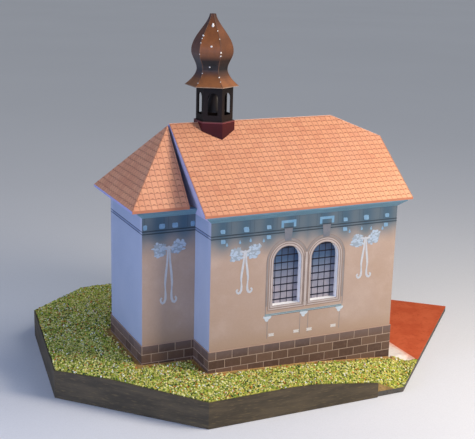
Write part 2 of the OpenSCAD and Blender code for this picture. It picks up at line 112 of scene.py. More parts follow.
class Value:
    """A number that varies over a surface and takes part in sums."""

    def __init__(self, graph: Graph, out: bpy.types.NodeSocket) -> None:
        """Wraps one output socket."""
        self.graph = graph
        self.out = out

    def __add__(self, other: Any) -> "Value":
        """Sum."""
        return self.graph.maths("ADD", self, other)

    def __sub__(self, other: Any) -> "Value":
        """Difference."""
        return self.graph.maths("SUBTRACT", self, other)

    def __rsub__(self, other: Any) -> "Value":
        """Difference from a number."""
        return self.graph.maths("SUBTRACT", other, self)

    def __mul__(self, other: Any) -> "Value":
        """Product."""
        return self.graph.maths("MULTIPLY", self, other)

    def __truediv__(self, other: Any) -> "Value":
        """Quotient."""
        return self.graph.maths("DIVIDE", self, other)

    def __mod__(self, other: Any) -> "Value":
        """Remainder, never below nought."""
        return self.graph.maths("FLOORED_MODULO", self, other)

    def __abs__(self) -> "Value":
        """Size without sign."""
        return self.graph.maths("ABSOLUTE", self)

    def __lt__(self, other: Any) -> "Value":
        """One where this is less."""
        return self.graph.maths("LESS_THAN", self, other)

    def __gt__(self, other: Any) -> "Value":
        """One where this is more."""
        return self.graph.maths("GREATER_THAN", self, other)

    __radd__ = __add__
    __rmul__ = __mul__

    def rise(self, low: float, high: float) -> "Value":
        """A smooth step from nought at low to one at high."""
        made = self.graph.node("ShaderNodeMapRange", {"interpolation_type": "SMOOTHSTEP"},
                               {"Value": self, "From Min": low, "From Max": high})
        return Value(self.graph, made.outputs[0])


class Shader(Graph):
    """A material on Object coordinates, with positions in mm."""

    def __init__(self, name: str) -> None:
        """Starts an empty material."""
        self.material = bpy.data.materials.new(name)
        self.material.use_nodes = True
        super().__init__(self.material.node_tree)
        self.tree.nodes.clear()
        self.surface = self.node("ShaderNodeBsdfPrincipled")
        self.node("ShaderNodeOutputMaterial", values={"Surface": self.surface.outputs[0]})
        place = self.node("ShaderNodeTexCoord").outputs["Object"]
        self.place = self.node("ShaderNodeVectorMath", {"operation": "SCALE"},
                               {"Vector": place, "Scale": 1 / MM}).outputs[0]
        parts = self.node("ShaderNodeSeparateXYZ", values={"Vector": self.place}).outputs
        self.x, self.y, self.z = (Value(self, part) for part in parts)

    def noise(self, size: float, detail: float = 2.0, stretch: tuple[float, float, float] = (1, 1, 1),
              shift: float = 0.0) -> Value:
        """Soft random variation.

        Args:
            size: Width of its blotches in mm.
            detail: Octaves of finer variation.
            stretch: Factors on the three axes, small ones drawing it out.
            shift: Moves it, so that two noises differ.

        Returns:
            A value about one half.
        """
        scaled = self.node("ShaderNodeVectorMath", {"operation": "MULTIPLY_ADD"},
                           {0: self.place, 1: tuple(s / size for s in stretch), 2: (shift, shift, shift)})
        made = self.node("ShaderNodeTexNoise", None,
                         {"Vector": scaled.outputs[0], "Scale": 1.0, "Detail": detail, "Roughness": 0.55})
        return Value(self, made.outputs[0])

    def cells(self, size: float) -> Value:
        """A random number for each cell of about that size in mm."""
        made = self.node("ShaderNodeTexVoronoi", None, {"Vector": self.place, "Scale": 1 / size})
        split = self.node("ShaderNodeSeparateColor", values={"Color": made.outputs["Color"]})
        return Value(self, split.outputs[0])

    def attribute(self, name: str) -> Value:
        """The piece's own attribute of that name."""
        return Value(self, self.node("ShaderNodeAttribute", {"attribute_name": name}).outputs["Fac"])

    def blend(self, share: Any, first: Any, second: Any, kind: str = "MIX") -> bpy.types.NodeSocket:
        """Mixes two colours."""
        return self.node("ShaderNodeMix", {"data_type": "RGBA", "blend_type": kind, "clamp_factor": True},
                         {0: share, 6: first, 7: second}).outputs[2]

    def shade(self, colour: Any, level: Value) -> bpy.types.NodeSocket:
        """Multiplies a colour by a level."""
        return self.blend(1.0, colour, level, "MULTIPLY")

    def ramp(self, share: Value, stops: Sequence[tuple[float, Ink]]) -> bpy.types.NodeSocket:
        """A colour ramp over a share."""
        return self.node("ShaderNodeValToRGB", {"stops": stops}, {0: share}).outputs[0]

    def facing(self, direction: Vector) -> Value:
        """How squarely the surface faces a direction, from its own flat faces."""
        normal = self.node("ShaderNodeNewGeometry").outputs["True Normal"]
        made = self.node("ShaderNodeVectorMath", {"operation": "DOT_PRODUCT"}, {0: normal, 1: direction[:]})
        return Value(self, made.outputs["Value"])

    def finish(self, colour: Any, rough: Any, height: Value | None = None, depth: float = 0.1,
               strength: float = 0.5, **constants: float) -> None:
        """Sets what the surface shows.

        Args:
            colour: Base colour.
            rough: Roughness.
            height: Height of the bump.
            depth: Height in mm that one unit of it stands for.
            strength: Strength of the bump.
            **constants: Other numbers of the surface, with _ for a space.
        """
        bumps = {}
        if height is not None:
            bumps["Normal"] = self.node("ShaderNodeBump", None, {
                "Strength": strength, "Distance": depth * MM, "Height": height}).outputs[0]
        for key, value in {"Base Color": colour, "Roughness": rough, **bumps}.items():
            value = getattr(value, "out", value)
            if isinstance(value, bpy.types.NodeSocket):
                self.tree.links.new(value, self.surface.inputs[key])
            else:
                self.surface.inputs[key].default_value = value
        for key, value in constants.items():
            self.surface.inputs[key.replace("_", " ")].default_value = value


FINISHES: dict[str, bpy.types.Material] = {}


@dataclass(frozen=True)
class Finish:
    """What a surface is made of and how it is printed or painted."""

    name: str

    def paint(self, s: Shader) -> None:
        """Builds the finish in a shader."""
        raise NotImplementedError

    def material(self) -> bpy.types.Material:
        """The finish as a material, made once."""
        if self.name not in FINISHES:
            shader = Shader(self.name)
            self.paint(shader)
            FINISHES[self.name] = shader.material
        return FINISHES[self.name]


class Side(Enum):
    """The side that a wall faces, as its axis and sign."""

    NEAR = ("y", -1)
    FAR = ("y", 1)
    ENTRANCE = ("x", 1)


@dataclass(frozen=True)
class PrintedWall(Finish):
    """Printed plaster on white foam board, with a grey printed frieze under the cornice that is darkened
    and tinted teal as painted shade of the eaves.
    """

    side: Side
    face: float
    end: float
    left: float
    # The frieze's grey is print; its teal haze is painted shade of the eaves.
    frieze: Ink = ink("566672")
    eave_shade_teal: Ink = ink("3c5a6e")
    plaster: Ink = ink("b5a094")
    low: Ink = ink("ab907b")
    pitch: float = 11.75
    cornice: float = 90.8

    def paint(self, s: Shader) -> None:
        """Plaster that darkens into the frieze as painted shade of the eaves; the wall's cut faces stay
        white, save the left end's, painted lavender shade.
        """
        axis, sign = self.side.value
        across, along = (s.y, s.x) if axis == "y" else (s.x, s.y)
        wash = s.blend(s.noise(26, 3), self.plaster, self.low)
        wash = s.blend((s.noise(9, 3, shift=4) - 0.5).rise(-0.1, 0.4) * 0.3, wash, ink("cdb9ae"))
        wash = s.blend(s.z.rise(34, 25), wash, self.low)
        wavy = s.z + (s.noise(13, 2, shift=9) - 0.5) * 4
        swell = s.maths("COSINE", (abs(along) - 20.6) * (math.tau / self.pitch)) * 0.5 + 0.5
        frieze = s.blend(s.noise(5, 2, (1, 1, 0.3)), self.frieze, ink("6f7577"))
        # Painted shade: a teal haze over the frieze, strongest about the squares.
        frieze = s.blend(swell * 0.6 + 0.25, frieze, self.eave_shade_teal)
        # Painted shade: the eaves' soft shadow darkens the wall upwards from about 68 mm, along a wavy
        # edge.
        wash = s.blend(wavy.rise(68, 78) * (swell * 0.4 + 0.6), wash, ink("6c767c"))
        wash = s.blend(wavy.rise(75, 81.5), wash, frieze)
        post = abs(((along + 20 * self.pitch) % self.pitch) - self.pitch / 2)
        lines = (abs(post - 1.1) < 0.14) * (s.z > 81.6) * 0.5
        wash = s.blend(lines, wash, ink("38464f"))
        wash = s.blend(s.z > self.cornice, wash, self.plaster)
        wash = s.shade(wash, 0.94 + s.noise(0.9, 2) * 0.12)
        depth = self.face - across * sign
        core = (depth > 0.06) * (abs(along) < self.end - 0.06)
        wash = s.blend(core, wash, ink("fbf9f8"))
        # Painted shade: the cut face at the left end, turned from the key, is coloured lavender instead of
        # white.
        cut = (s.facing(Vector((-1, 0, 0))) > 0.9) * (s.x < self.left + 0.06)
        wash = s.blend(cut, wash, ink("a8aebf"))
        s.finish(wash, 0.62 + s.noise(4) * 0.1, s.noise(0.35, 2), 0.03, 0.3, Specular_IOR_Level=0.3)


@dataclass(frozen=True)
class ShadedEndWall(Finish):
    """The end walls, coloured lavender blue as painted shade, with one darker band at the string."""

    # Painted shade: lavender blue stands for the beige print in the shade of the end walls.
    card: Ink = ink("aeb4c2")
    shade: Ink = ink("9aa4b8")
    string: float = 80.4

    def paint(self, s: Shader) -> None:
        """Faintly clouded, with painted shade that darkens it towards its head."""
        wash = s.blend(s.noise(22, 3), self.card, self.shade)
        # Painted shade: darker towards the head, under the eaves.
        wash = s.blend(s.z.rise(70, 90) * 0.5, wash, ink("8492ac"))
        band = (abs(s.z - self.string) < 0.9) * 0.55
        wash = s.blend(band, wash, ink("5d6c8f"))
        wash = s.shade(wash, 0.95 + s.noise(0.9, 2) * 0.1)
        s.finish(wash, 0.6 + s.noise(4) * 0.1, s.noise(0.4, 2), 0.03, 0.3, Specular_IOR_Level=0.3)


@dataclass(frozen=True)
class Print(Finish):
    """Ink on card: one colour that wanders a little towards another."""

    ink_1: Ink
    ink_2: Ink
    size: float = 3.0
    rough: float = 0.6

    def paint(self, s: Shader) -> None:
        """Mottled print with the card's fine tooth."""
        colour = s.blend((s.noise(self.size, 3) - 0.3) * 2.2, self.ink_1, self.ink_2)
        colour = s.shade(colour, 0.93 + s.noise(0.6, 2, shift=3) * 0.14)
        s.finish(colour, self.rough - 0.05 + s.noise(2.5) * 0.1, s.noise(0.3, 2), 0.02, 0.3,
                 Specular_IOR_Level=0.35)


@dataclass(frozen=True)
class StonePrint(Finish):
    """Printed ashlar blocks, each with a shade of its own."""

    dark: Ink = ink("523c31")
    light: Ink = ink("745a49")

    def paint(self, s: Shader) -> None:
        """Brown stone that is greyer and lighter towards the top course."""
        colour = s.blend(s.attribute("tint"), self.dark, self.light)
        colour = s.blend((s.noise(2.2, 4) - 0.5).rise(-0.1, 0.3) * 0.4, colour, ink("7b6353"))
        colour = s.blend(s.z.rise(19.5, 25) * 0.45, colour, ink("75696a"))
        colour = s.shade(colour, 0.88 + s.noise(0.5, 2) * 0.24)
        s.finish(colour, 0.6 + s.noise(3) * 0.1, s.noise(0.5, 3), 0.05, 0.4, Specular_IOR_Level=0.3)


@dataclass(frozen=True)
class CornicePrint(Finish):
    """A folded card cornice with fine printed lines along it, coloured blue-grey as painted shade under the
    eave.
    """

    # Painted shade: blue-grey stands for the pale print in the eave's shadow.
    light: Ink = ink("7fa6b9")
    dark: Ink = ink("48697c")
    pitch: float = 0.78

    def paint(self, s: Shader) -> None:
        """Fine dark lines along the moulding, broken here and there."""
        across = s.z % self.pitch
        line = (across < 0.2) * (s.noise(6, 2, (0.4, 0.4, 6)) > 0.42)
        colour = s.blend(s.noise(4, 3, (0.2, 0.2, 3)), self.light, ink("6d92a5"))
        colour = s.blend(line * 0.8, colour, self.dark)
        colour = s.shade(colour, 0.92 + s.noise(0.7, 2) * 0.16)
        s.finish(colour, 0.6, s.noise(0.4, 2), 0.02, 0.3, Specular_IOR_Level=0.35)


@dataclass(frozen=True)
class TilePrint(Finish):
    """The roof card under its tiles: clay print above; below and along the rakes the white card is coloured
    lavender as painted shade.
    """

    top: Vector
    clay: Ink = ink("c98463")
    # Painted shade: lavender stands for the bare white card in blue shade.
    card: Ink = ink("aaa9cc")

    def paint(self, s: Shader) -> None:
        """Print on the slope's upper face and its eave; elsewhere white card coloured lavender as painted
        shade.
        """
        below = s.facing(-self.top) > 0.99
        rake = abs(s.facing(Vector((1, 0, 0)))) > 0.9
        colour = s.blend(s.noise(8, 3), self.clay, ink("b9755a"))
        card = s.blend(s.noise(3, 3), self.card, ink("9c9dc4"))
        colour = s.blend(s.maths("MAXIMUM", below, rake), colour, card)
        s.finish(colour, 0.6, s.noise(0.4, 2), 0.02, 0.3, Specular_IOR_Level=0.3)


@dataclass(frozen=True)
class TileFace(Finish):
    """One printed clay tile, with a dark wavy line along its lower edge."""

    clay: Ink = ink("e39a74")
    warm: Ink = ink("f0ab80")
    line: Ink = ink("9a5a43")

    def paint(self, s: Shader) -> None:
        """Clay that varies from tile to tile, with a painted highlight that lightens it towards the eaves
        and the right.
        """
        colour = s.blend(s.attribute("tint"), self.clay, self.warm)
        colour = s.blend((s.noise(17, 3) - 0.5).rise(-0.15, 0.3) * 0.5, colour, ink("efb08c"))
        colour = s.blend(s.noise(1.1, 3, shift=2).rise(0.5, 0.75) * 0.3, colour, ink("d18363"))
        # Painted highlight: lighter towards the low right, where the key light falls strongest.
        colour = s.blend(s.z.rise(112, 92) * s.x.rise(-60, 60) * 0.6, colour, ink("f4ba8e"))
        colour = s.blend(s.attribute("line") * 0.8, colour, self.line)
        s.finish(colour, 0.5 + s.noise(3) * 0.12, s.noise(0.4, 2), 0.02, 0.3, Specular_IOR_Level=0.4)


@dataclass(frozen=True)
class TurretCard(Finish):
    """Dark printed card that goes from one colour to another with height."""

    foot: float
    head: float
    low: Ink
    high: Ink
    edge: Ink
    edge_depth: float = 0.5

    def paint(self, s: Shader) -> None:
        """A gradient with faint upright streaks and a lighter line along its top."""
        share = (s.z - self.foot) / (self.head - self.foot)
        colour = s.blend(share, self.low, self.high)
        colour = s.blend((s.noise(2.5, 3, (1, 1, 0.2)) - 0.4) * 0.9, colour, self.low)
        colour = s.blend((s.z > self.head - self.edge_depth) * 0.8, colour, self.edge)
        colour = s.shade(colour, 0.85 + s.noise(0.7, 3) * 0.3)
        s.finish(colour, 0.5 + s.noise(3) * 0.15, s.noise(0.5, 2), 0.02, 0.3, Specular_IOR_Level=0.22)


@dataclass(frozen=True)
class DomeCard(Finish):
    """Satin brown card of the onion dome, with painted shade and reflection: near black about its waist,
    darker on the right gore, dark blue-grey on the left.
    """

    rim: float
    tip: float

    def paint(self, s: Shader) -> None:
        """A brown skirt and bulb with fine streaks down the gores, and painted shade and reflection."""
        share = (s.z - self.rim) / (self.tip - self.rim)
        # Painted shade and reflection: the near-black band about the waist, where the bulb turns down.
        colour = s.ramp(share, [
            (0.0, ink("c0a590")), (0.012, ink("9a6238")), (0.03, ink("9c6238")), (0.13, ink("8a5530")),
            (0.19, ink("5c3b2a")), (0.235, ink("1a1413")), (0.3, ink("0c0c0e")), (0.36, ink("1c1412")),
            (0.43, ink("744627")), (0.55, ink("96592f")), (0.8, ink("8a522d")), (1.0, ink("5f3a28"))])
        colour = s.blend((s.noise(3.5, 3, (1, 1, 0.15)) - 0.45) * 1.3, colour, ink("4a2e22"))
        colour = s.shade(colour, 0.85 + s.noise(0.8, 3) * 0.3)
        # Painted shade: the gore facing the key is darkened to tame its light.
        right = s.facing(Vector((0.5, -0.866, 0)))
        colour = s.shade(colour, 1 - right.rise(0.75, 0.92) * 0.45)
        # Painted reflection: the gore facing left is blended to dark blue-grey, for blue surroundings on
        # the gloss.
        left = s.facing(Vector((-1, 0, 0)))
        colour = s.blend(left.rise(0.75, 0.92) * 0.6, colour, ink("2b2c38"))
        s.finish(colour, 0.38 + s.noise(2.5, 3) * 0.2, s.noise(1.6, 3, (1, 1, 0.4)), 0.05, 0.35,
                 Specular_IOR_Level=0.4, Coat_Weight=0.1, Coat_Roughness=0.2)


@dataclass(frozen=True)
class PanePrint(Finish):
    """Printed glass: dark blue at the head of the window, grey and pinkish at its foot; the head's dark
    blue is partly print and partly painted shade.
    """

    sill: float
    head: float

    def paint(self, s: Shader) -> None:
        """A gradient with a shade of its own in each light."""
        share = (s.z - self.sill) / (self.head - self.sill)
        # Partly painted shade: the darkest blues at the head are deeper than the print, for the recessed
        # pane's lesser light.
        colour = s.ramp(share, [(0.0, ink("a0989f")), (0.3, ink("938e9a")), (0.55, ink("6a7389")),
                                (0.72, ink("2f4c70")), (0.95, ink("142f55"))])
        colour = s.blend(s.cells(3.5) * 0.25, colour, ink("4b6b84"))
        colour = s.shade(colour, 0.88 + s.noise(1.5, 3) * 0.24)
        s.finish(colour, 0.4, s.noise(0.5, 2), 0.01, 0.2, Specular_IOR_Level=0.5)


@dataclass(frozen=True)
class DoorPrint(Finish):
    """Printed upright boards of a brown door."""

    board: float = 3.4

    def paint(self, s: Shader) -> None:
        """Boards with dark joints and drawn-out grain."""
        across = (s.y + 100 * self.board) % self.board
        colour = s.blend(s.noise(3, 4, (1, 3, 0.15)), ink("5b3a27"), ink("7a5138"))
        colour = s.blend((abs(across - self.board / 2) < 0.16) * 0.9, colour, ink("2a1a13"))
        s.finish(colour, 0.55, s.noise(1.2, 3, (1, 3, 0.15)), 0.03, 0.3, Specular_IOR_Level=0.35)


@dataclass(frozen=True)
class Flock(Finish):
    """The ground under the turf's grains: mottled yellow green, and bare earth along the walls."""

    def paint(self, s: Shader) -> None:
        """Grains of green, straw and brown, about a millimetre across."""
        grain = s.cells(0.9)
        colour = s.ramp(grain, [(0.0, ink("4f5c28")), (0.25, ink("8a8e3a")), (0.6, ink("b8b24c")),
                                (1.0, ink("e0d66c"))])
        colour = s.blend(s.noise(14, 3).rise(0.4, 0.7) * 0.5, colour, ink("66743a"))
        bare = 1 - (wall_distance(s) + (s.noise(5, 3) - 0.5) * 5).rise(3.0, 6.0)
        earth = s.blend(s.noise(3, 3), ink("c49a5c"), ink("8f6a3a"))
        colour = s.blend(bare, colour, earth)
        s.finish(colour, 0.95, s.noise(0.7, 3), 0.5, 0.8, Specular_IOR_Level=0.1)


def wall_distance(s: Shader) -> Value:
    """How far a place lies outside the chapel's walls, in mm."""
    nave, end = span("nave_wall_near"), span("chancel_wall_end")
    middle = (end[0].x + nave[0].x) / 2
    parts = []
    for centre, half_x, half_y in ((0.0, nave[1].x, -nave[0].y),
                                   (middle, nave[0].x - middle, end[1].y + 3)):
        parts.append(s.maths("MAXIMUM", abs(s.x - centre) - half_x, abs(s.y) - half_y))
    return s.maths("MINIMUM", *parts)


@dataclass(frozen=True)
class Grain(Finish):
    """Loose flock of one shade."""

    ink_1: Ink
    ink_2: Ink

    def paint(self, s: Shader) -> None:
        """A shade for each grain, with patches over the lawn."""
        colour = s.blend(s.attribute("tint"), self.ink_1, self.ink_2)
        colour = s.shade(colour, 0.8 + s.noise(16, 3) * 0.4)
        s.finish(colour, 0.95, s.noise(0.3, 2), 0.1, 0.5, Specular_IOR_Level=0.1)


@dataclass(frozen=True)
class Ground(Finish):
    """A rough coat of earth, plaster or paint."""

    ink_1: Ink
    ink_2: Ink
    ink_3: Ink
    size: float = 4.0
    depth: float = 0.4
    rough: float = 0.9
    stretch: tuple[float, float, float] = (1, 1, 1)

    def paint(self, s: Shader) -> None:
        """Three shades in blotches, with a coarse bump."""
        wide = s.noise(self.size, 4, self.stretch)
        fine = s.noise(self.size / 5, 4, self.stretch, 7)
        colour = s.blend(wide.rise(0.35, 0.65), self.ink_1, self.ink_2)
        colour = s.blend(fine.rise(0.52, 0.72) * 0.8, colour, self.ink_3)
        s.finish(colour, self.rough - 0.05 + fine * 0.1, fine + wide, self.depth, 0.6,
                 Specular_IOR_Level=0.2)


@dataclass(frozen=True)
class RampPlaster(Finish):
    """White filler on the ramp, with the pink of the paper showing at its lower edge."""

    edge: float

    def paint(self, s: Shader) -> None:
        """Trowelled white that turns pink towards the paving."""
        near = (s.x + (s.noise(6, 3) - 0.5) * 9).rise(self.edge - 7, self.edge + 1)
        colour = s.blend(s.noise(3, 4), ink("f3e9e0"), ink("dccdc0"))
        colour = s.blend(near, colour, ink("e2a58d"))
        s.finish(colour, 0.9, s.noise(2.2, 5), 0.9, 0.8, Specular_IOR_Level=0.2)


def new_object(name: str, data: bpy.types.ID) -> bpy.types.Object:
    """Makes an object and links it to the scene."""
    made = bpy.data.objects.new(name, data)
    bpy.context.scene.collection.objects.link(made)
    return made


def into_mesh(shape: bmesh.types.BMesh, name: str) -> bpy.types.Mesh:
    """Turns a shape into a mesh and frees it."""
    mesh = bpy.data.meshes.new(name)
    shape.to_mesh(mesh)
    shape.free()
    return mesh


def box_mesh(name: str, wide: float, long: float, thick: float) -> bpy.types.Mesh:
    """A box about the origin, by its size in mm."""
    shape = bmesh.new()
    bmesh.ops.create_cube(shape, size=1, matrix=Matrix.Diagonal((wide * MM, long * MM, thick * MM, 1)))
    return into_mesh(shape, name)


def skin(shape: bmesh.types.BMesh, rings: Sequence[list[bmesh.types.BMVert]], closed: bool = False) -> None:
    """Joins rings of corners into one bar.

    Args:
        shape: The shape that holds the corners.
        rings: The rings in order, each with as many corners.
        closed: Whether the last ring joins the first. If not, both ends are capped.
    """
    following = [*rings[1:], rings[0]] if closed else rings[1:]
    for a, b in zip(rings, following):
        for k in range(len(a)):
            m = (k + 1) % len(a)
            shape.faces.new((a[k], b[k], b[m], a[m]))
    if not closed:
        shape.faces.new(rings[0])
        shape.faces.new(rings[-1][::-1])


@dataclass(frozen=True)
class Face:
    """A flat face that carries print, in mm."""

    origin: Vector
    across: Vector
    out: Vector
    up: Vector = Vector((0, 0, 1))

    def at(self, u: float, v: float, lift: float) -> Vector:
        """The place at u across, v up and lift out of the face, in metres."""
        return (self.origin + self.across * u + self.up * v + self.out * lift) * MM


class Relief:
    """Thin printed shapes on flat faces, gathered into one mesh."""

    def __init__(self) -> None:
        """Starts empty."""
        self.mesh = bmesh.new()
        self.tint = self.mesh.verts.layers.float.new("tint")

    def ring(self, face: Face, outline: Sequence[Flat], lift: float,
             tint: float) -> list[bmesh.types.BMVert]:
        """Adds one loop of corners."""
        corners = [self.mesh.verts.new(face.at(u, v, lift)) for u, v in outline]
        for corner in corners:
            corner[self.tint] = tint
        return corners

    def patch(self, face: Face, outline: Sequence[Flat], lift: float = 0.06, tint: float = 0.5) -> None:
        """Adds a flat closed shape.

        Args:
            face: The face that it lies on.
            outline: Its corners in order, in mm.
            lift: How far it stands out of the face.
            tint: The shade that its finish reads.
        """
        low = self.ring(face, outline, -SUNK, tint)
        high = self.ring(face, outline, lift, tint)
        self.mesh.faces.new(high)
        self.mesh.faces.new(low[::-1])
        for i in range(len(low)):
            j = (i + 1) % len(low)
            self.mesh.faces.new((low[i], low[j], high[j], high[i]))

    def box(self, face: Face, u: float, v: float, wide: float, high: float, lift: float = 0.06,
            tint: float = 0.5) -> None:
        """Adds a rectangle about a middle."""
        a, b = wide / 2, high / 2
        self.patch(face, [(u - a, v - b), (u + a, v - b), (u + a, v + b), (u - a, v + b)], lift, tint)

    def band(self, face: Face, path: Sequence[Flat], widths: float | Sequence[float], lift: float = 0.08,
             closed: bool = False, tint: float = 0.5) -> None:
        """Adds a band along a path.

        Args:
            face: The face that it lies on.
            path: Points along its middle, in mm.
            widths: Its width, or one for each point.
            lift: How far it stands out of the face.
            closed: Whether it runs round to its start.
            tint: The shade that its finish reads.
        """
        count = len(path)
        wide = [widths] * count if isinstance(widths, (int, float)) else list(widths)
        points = [Vector(p) for p in path]
        rings = []
        for i, point in enumerate(points):
            before = points[i - 1] if i or closed else None
            after = points[(i + 1) % count] if i + 1 < count or closed else None
            ways = [w.normalized() for w in (
                (point - before) if before is not None else None,
                (after - point) if after is not None else None) if w is not None]
            way = sum(ways, Vector((0, 0))).normalized()
            off = Vector((-way.y, way.x))
            stretch = 1 / max(0.5, ways[0].dot(way))
            off *= wide[i] / 2 * stretch
            left, right = point + off, point - off
            corners = [face.at(*left, -SUNK), face.at(*right, -SUNK),
                       face.at(*right, lift), face.at(*left, lift)]
            ring = [self.mesh.verts.new(c) for c in corners]
            for vert in ring:
                vert[self.tint] = tint
            rings.append(ring)
        skin(self.mesh, rings, closed)

    def blob(self, centre: Vector, radius: float, squash: Vector, tint: float = 0.5) -> None:
        """Adds a small rounded lump, in metres, flattened by squash."""
        made = bmesh.ops.create_icosphere(self.mesh, subdivisions=2, radius=radius)
        for vert in made["verts"]:
            flat = squash.normalized()
            vert.co -= flat * vert.co.dot(flat) * squash.length
            vert.co += centre
            vert[self.tint] = tint

    def piece(self, name: str, finish: Finish, slot: str) -> bpy.types.Object:
        """Turns what was gathered into a piece."""
        bmesh.ops.recalc_face_normals(self.mesh, faces=self.mesh.faces)
        return add_piece(name, self.mesh, finish)


def add_piece(name: str, shape: bmesh.types.BMesh, finish: Finish) -> bpy.types.Object:
    """Makes a finished piece that rides on the model.

    Args:
        name: The piece's name.
        shape: Its mesh, in metres, which is used up.
        finish: Its finish.

    Returns:
        The new object.
    """
    wide = [f for f in shape.faces if len(f.verts) > 4]
    bmesh.ops.triangulate(shape, faces=wide)
    mesh = into_mesh(shape, name)
    piece = new_object(name, mesh)
    mesh.materials.clear()
    mesh.materials.append(finish.material())
    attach(piece, BODY)
    mesh.calc_loop_triangles()
    log.info("%s: %d triangles", name, len(mesh.loop_triangles))
    return piece


def dress(finish: Finish, *nodes: str) -> None:
    """Gives CAD nodes a finish."""
    for node in nodes:
        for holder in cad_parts[node].material_slots:
            holder.material = finish.material()
        log.info("%s: %s", node, finish.name)


class Maker(Graph):
    """A Geometry Nodes tree that repeats a shape."""

    def __init__(self, name: str) -> None:
        """Starts a tree that takes and gives geometry."""
        super().__init__(bpy.data.node_groups.new(name, "GeometryNodeTree"))
        self.names: dict[str, str] = {}
        self.add_input("Geometry", "NodeSocketGeometry")
        self.tree.interface.new_socket(name="Geometry", in_out="OUTPUT", socket_type="NodeSocketGeometry")
        self.start = self.node("NodeGroupInput")

    def add_input(self, name: str, kind: str) -> None:
        """Adds a named input to the tree."""
        made = self.tree.interface.new_socket(name=name, in_out="INPUT", socket_type=kind)
        self.names[name] = made.identifier

    def given(self, name: str) -> Value:
        """The input of that name."""
        return Value(self, self.start.outputs[name])

    def close(self, geometry: bpy.types.NodeSocket, material: bpy.types.Material) -> None:
        """Ends the tree with real geometry in one material."""
        real = self.node("GeometryNodeRealizeInstances", None, {"Geometry": geometry}).outputs[0]
        done = self.node("GeometryNodeSetMaterial", None, {"Geometry": real, "Material": material})
        self.node("NodeGroupOutput", None, {"Geometry": done.outputs[0]})

    def close_tinted(self, copies: bpy.types.NodeSocket, seed: Value, material: bpy.types.Material) -> None:
        """Gives each copy a random shade and ends the tree."""
        chance = self.node("FunctionNodeRandomValue", {"data_type": "FLOAT"}, {"Seed": seed})
        tinted = self.node("GeometryNodeStoreNamedAttribute",
                           {"data_type": "FLOAT", "domain": "INSTANCE"},
                           {"Geometry": copies, "Name": "tint", "Value": chance.outputs[1]})
        self.close(tinted.outputs[0], material)

    def run(self, mesh: bpy.types.Mesh, values: dict[str, float]) -> bmesh.types.BMesh:
        """Runs the tree on a mesh.

        Args:
            mesh: The mesh that it starts from.
            values: Numbers for its named inputs.

        Returns:
            The plain mesh that it makes.
        """
        carrier = new_object("carrier", mesh)
        modifier = carrier.modifiers.new("make", "NODES")
        modifier.node_group = self.tree
        for name, value in values.items():
            modifier[self.names[name]] = value
        ready = carrier.evaluated_get(bpy.context.evaluated_depsgraph_get())
        made = bpy.data.meshes.new_from_object(ready)
        carrier.modifiers.remove(modifier)
        bpy.data.objects.remove(carrier)
        shape = bmesh.new()
        shape.from_mesh(made)
        bpy.data.meshes.remove(made)
        return shape


class GridMaker(Maker):
    """Repeats one shape in rows and columns, with a shade for each copy."""

    def __init__(self, name: str, material: bpy.types.Material) -> None:
        """Builds the tree: a grid of points, odd rows shifted, and a copy on each."""
        super().__init__(name)
        for label in ("Columns", "Rows", "Seed"):
            self.add_input(label, "NodeSocketInt")
        for label in ("Width", "Pitch", "Stagger"):
            self.add_input(label, "NodeSocketFloat")
        columns, rows = self.given("Columns"), self.given("Rows")
        width, pitch = self.given("Width"), self.given("Pitch")
        grid = self.node("GeometryNodeMeshGrid", None, {
            "Size X": (columns - 1) * width, "Size Y": (rows - 1) * pitch,
            "Vertices X": columns, "Vertices Y": rows}).outputs[0]
        place = self.node("ShaderNodeSeparateXYZ", None, {
            0: self.node("GeometryNodeInputPosition").outputs[0]}).outputs[1]
        row = self.maths("ROUND", (Value(self, place) + (rows - 1) * pitch * 0.5) / pitch)
        shift = self.node("ShaderNodeCombineXYZ", None, {0: (row % 2) * self.given("Stagger")}).outputs[0]
        points = self.node("GeometryNodeSetPosition", None, {"Geometry": grid, "Offset": shift}).outputs[0]
        copies = self.node("GeometryNodeInstanceOnPoints", None, {
            "Points": points, "Instance": self.start.outputs["Geometry"]}).outputs[0]
        self.close_tinted(copies, self.given("Seed"), material)


class GrainMaker(Maker):
    """Scatters small lumps over a surface."""

    def __init__(self, name: str, material: bpy.types.Material) -> None:
        """Builds the tree: random points, and a turned and sized lump on each."""
        super().__init__(name)
        for label in ("Density", "Size"):
            self.add_input(label, "NodeSocketFloat")
        self.add_input("Seed", "NodeSocketInt")
        seed = self.given("Seed")
        points = self.node("GeometryNodeDistributePointsOnFaces", None, {
            "Mesh": self.start.outputs["Geometry"], "Density": self.given("Density"),
            "Seed": seed}).outputs[0]
        lump = self.node("GeometryNodeMeshUVSphere", None, {
            "Segments": 4, "Rings": 2, "Radius": self.given("Size")}).outputs[0]
        turn = self.node("FunctionNodeRandomValue", {"data_type": "FLOAT_VECTOR"}, {
            0: (0, 0, 0), 1: (math.tau, math.tau, math.tau), "Seed": seed + 1}).outputs[0]
        size = self.node("FunctionNodeRandomValue", {"data_type": "FLOAT_VECTOR"}, {
            0: (0.6, 0.6, 0.5), 1: (1.5, 1.3, 1.2), "Seed": seed + 2}).outputs[0]
        copies = self.node("GeometryNodeInstanceOnPoints", None, {
            "Points": points, "Instance": lump, "Rotation": turn, "Scale": size}).outputs[0]
        self.close_tinted(copies, seed + 3, material)


def trim(shape: bmesh.types.BMesh, point: Vector, out: Vector) -> None:
    """Cuts away what lies past a plane, given in metres, and closes the cut."""
    every = shape.verts[:] + shape.edges[:] + shape.faces[:]
    bmesh.ops.bisect_plane(shape, geom=every, dist=1e-7, plane_co=point, plane_no=out, clear_outer=True)
    open_edges = [e for e in shape.edges if e.is_boundary]
    bmesh.ops.holes_fill(shape, edges=open_edges, sides=0)


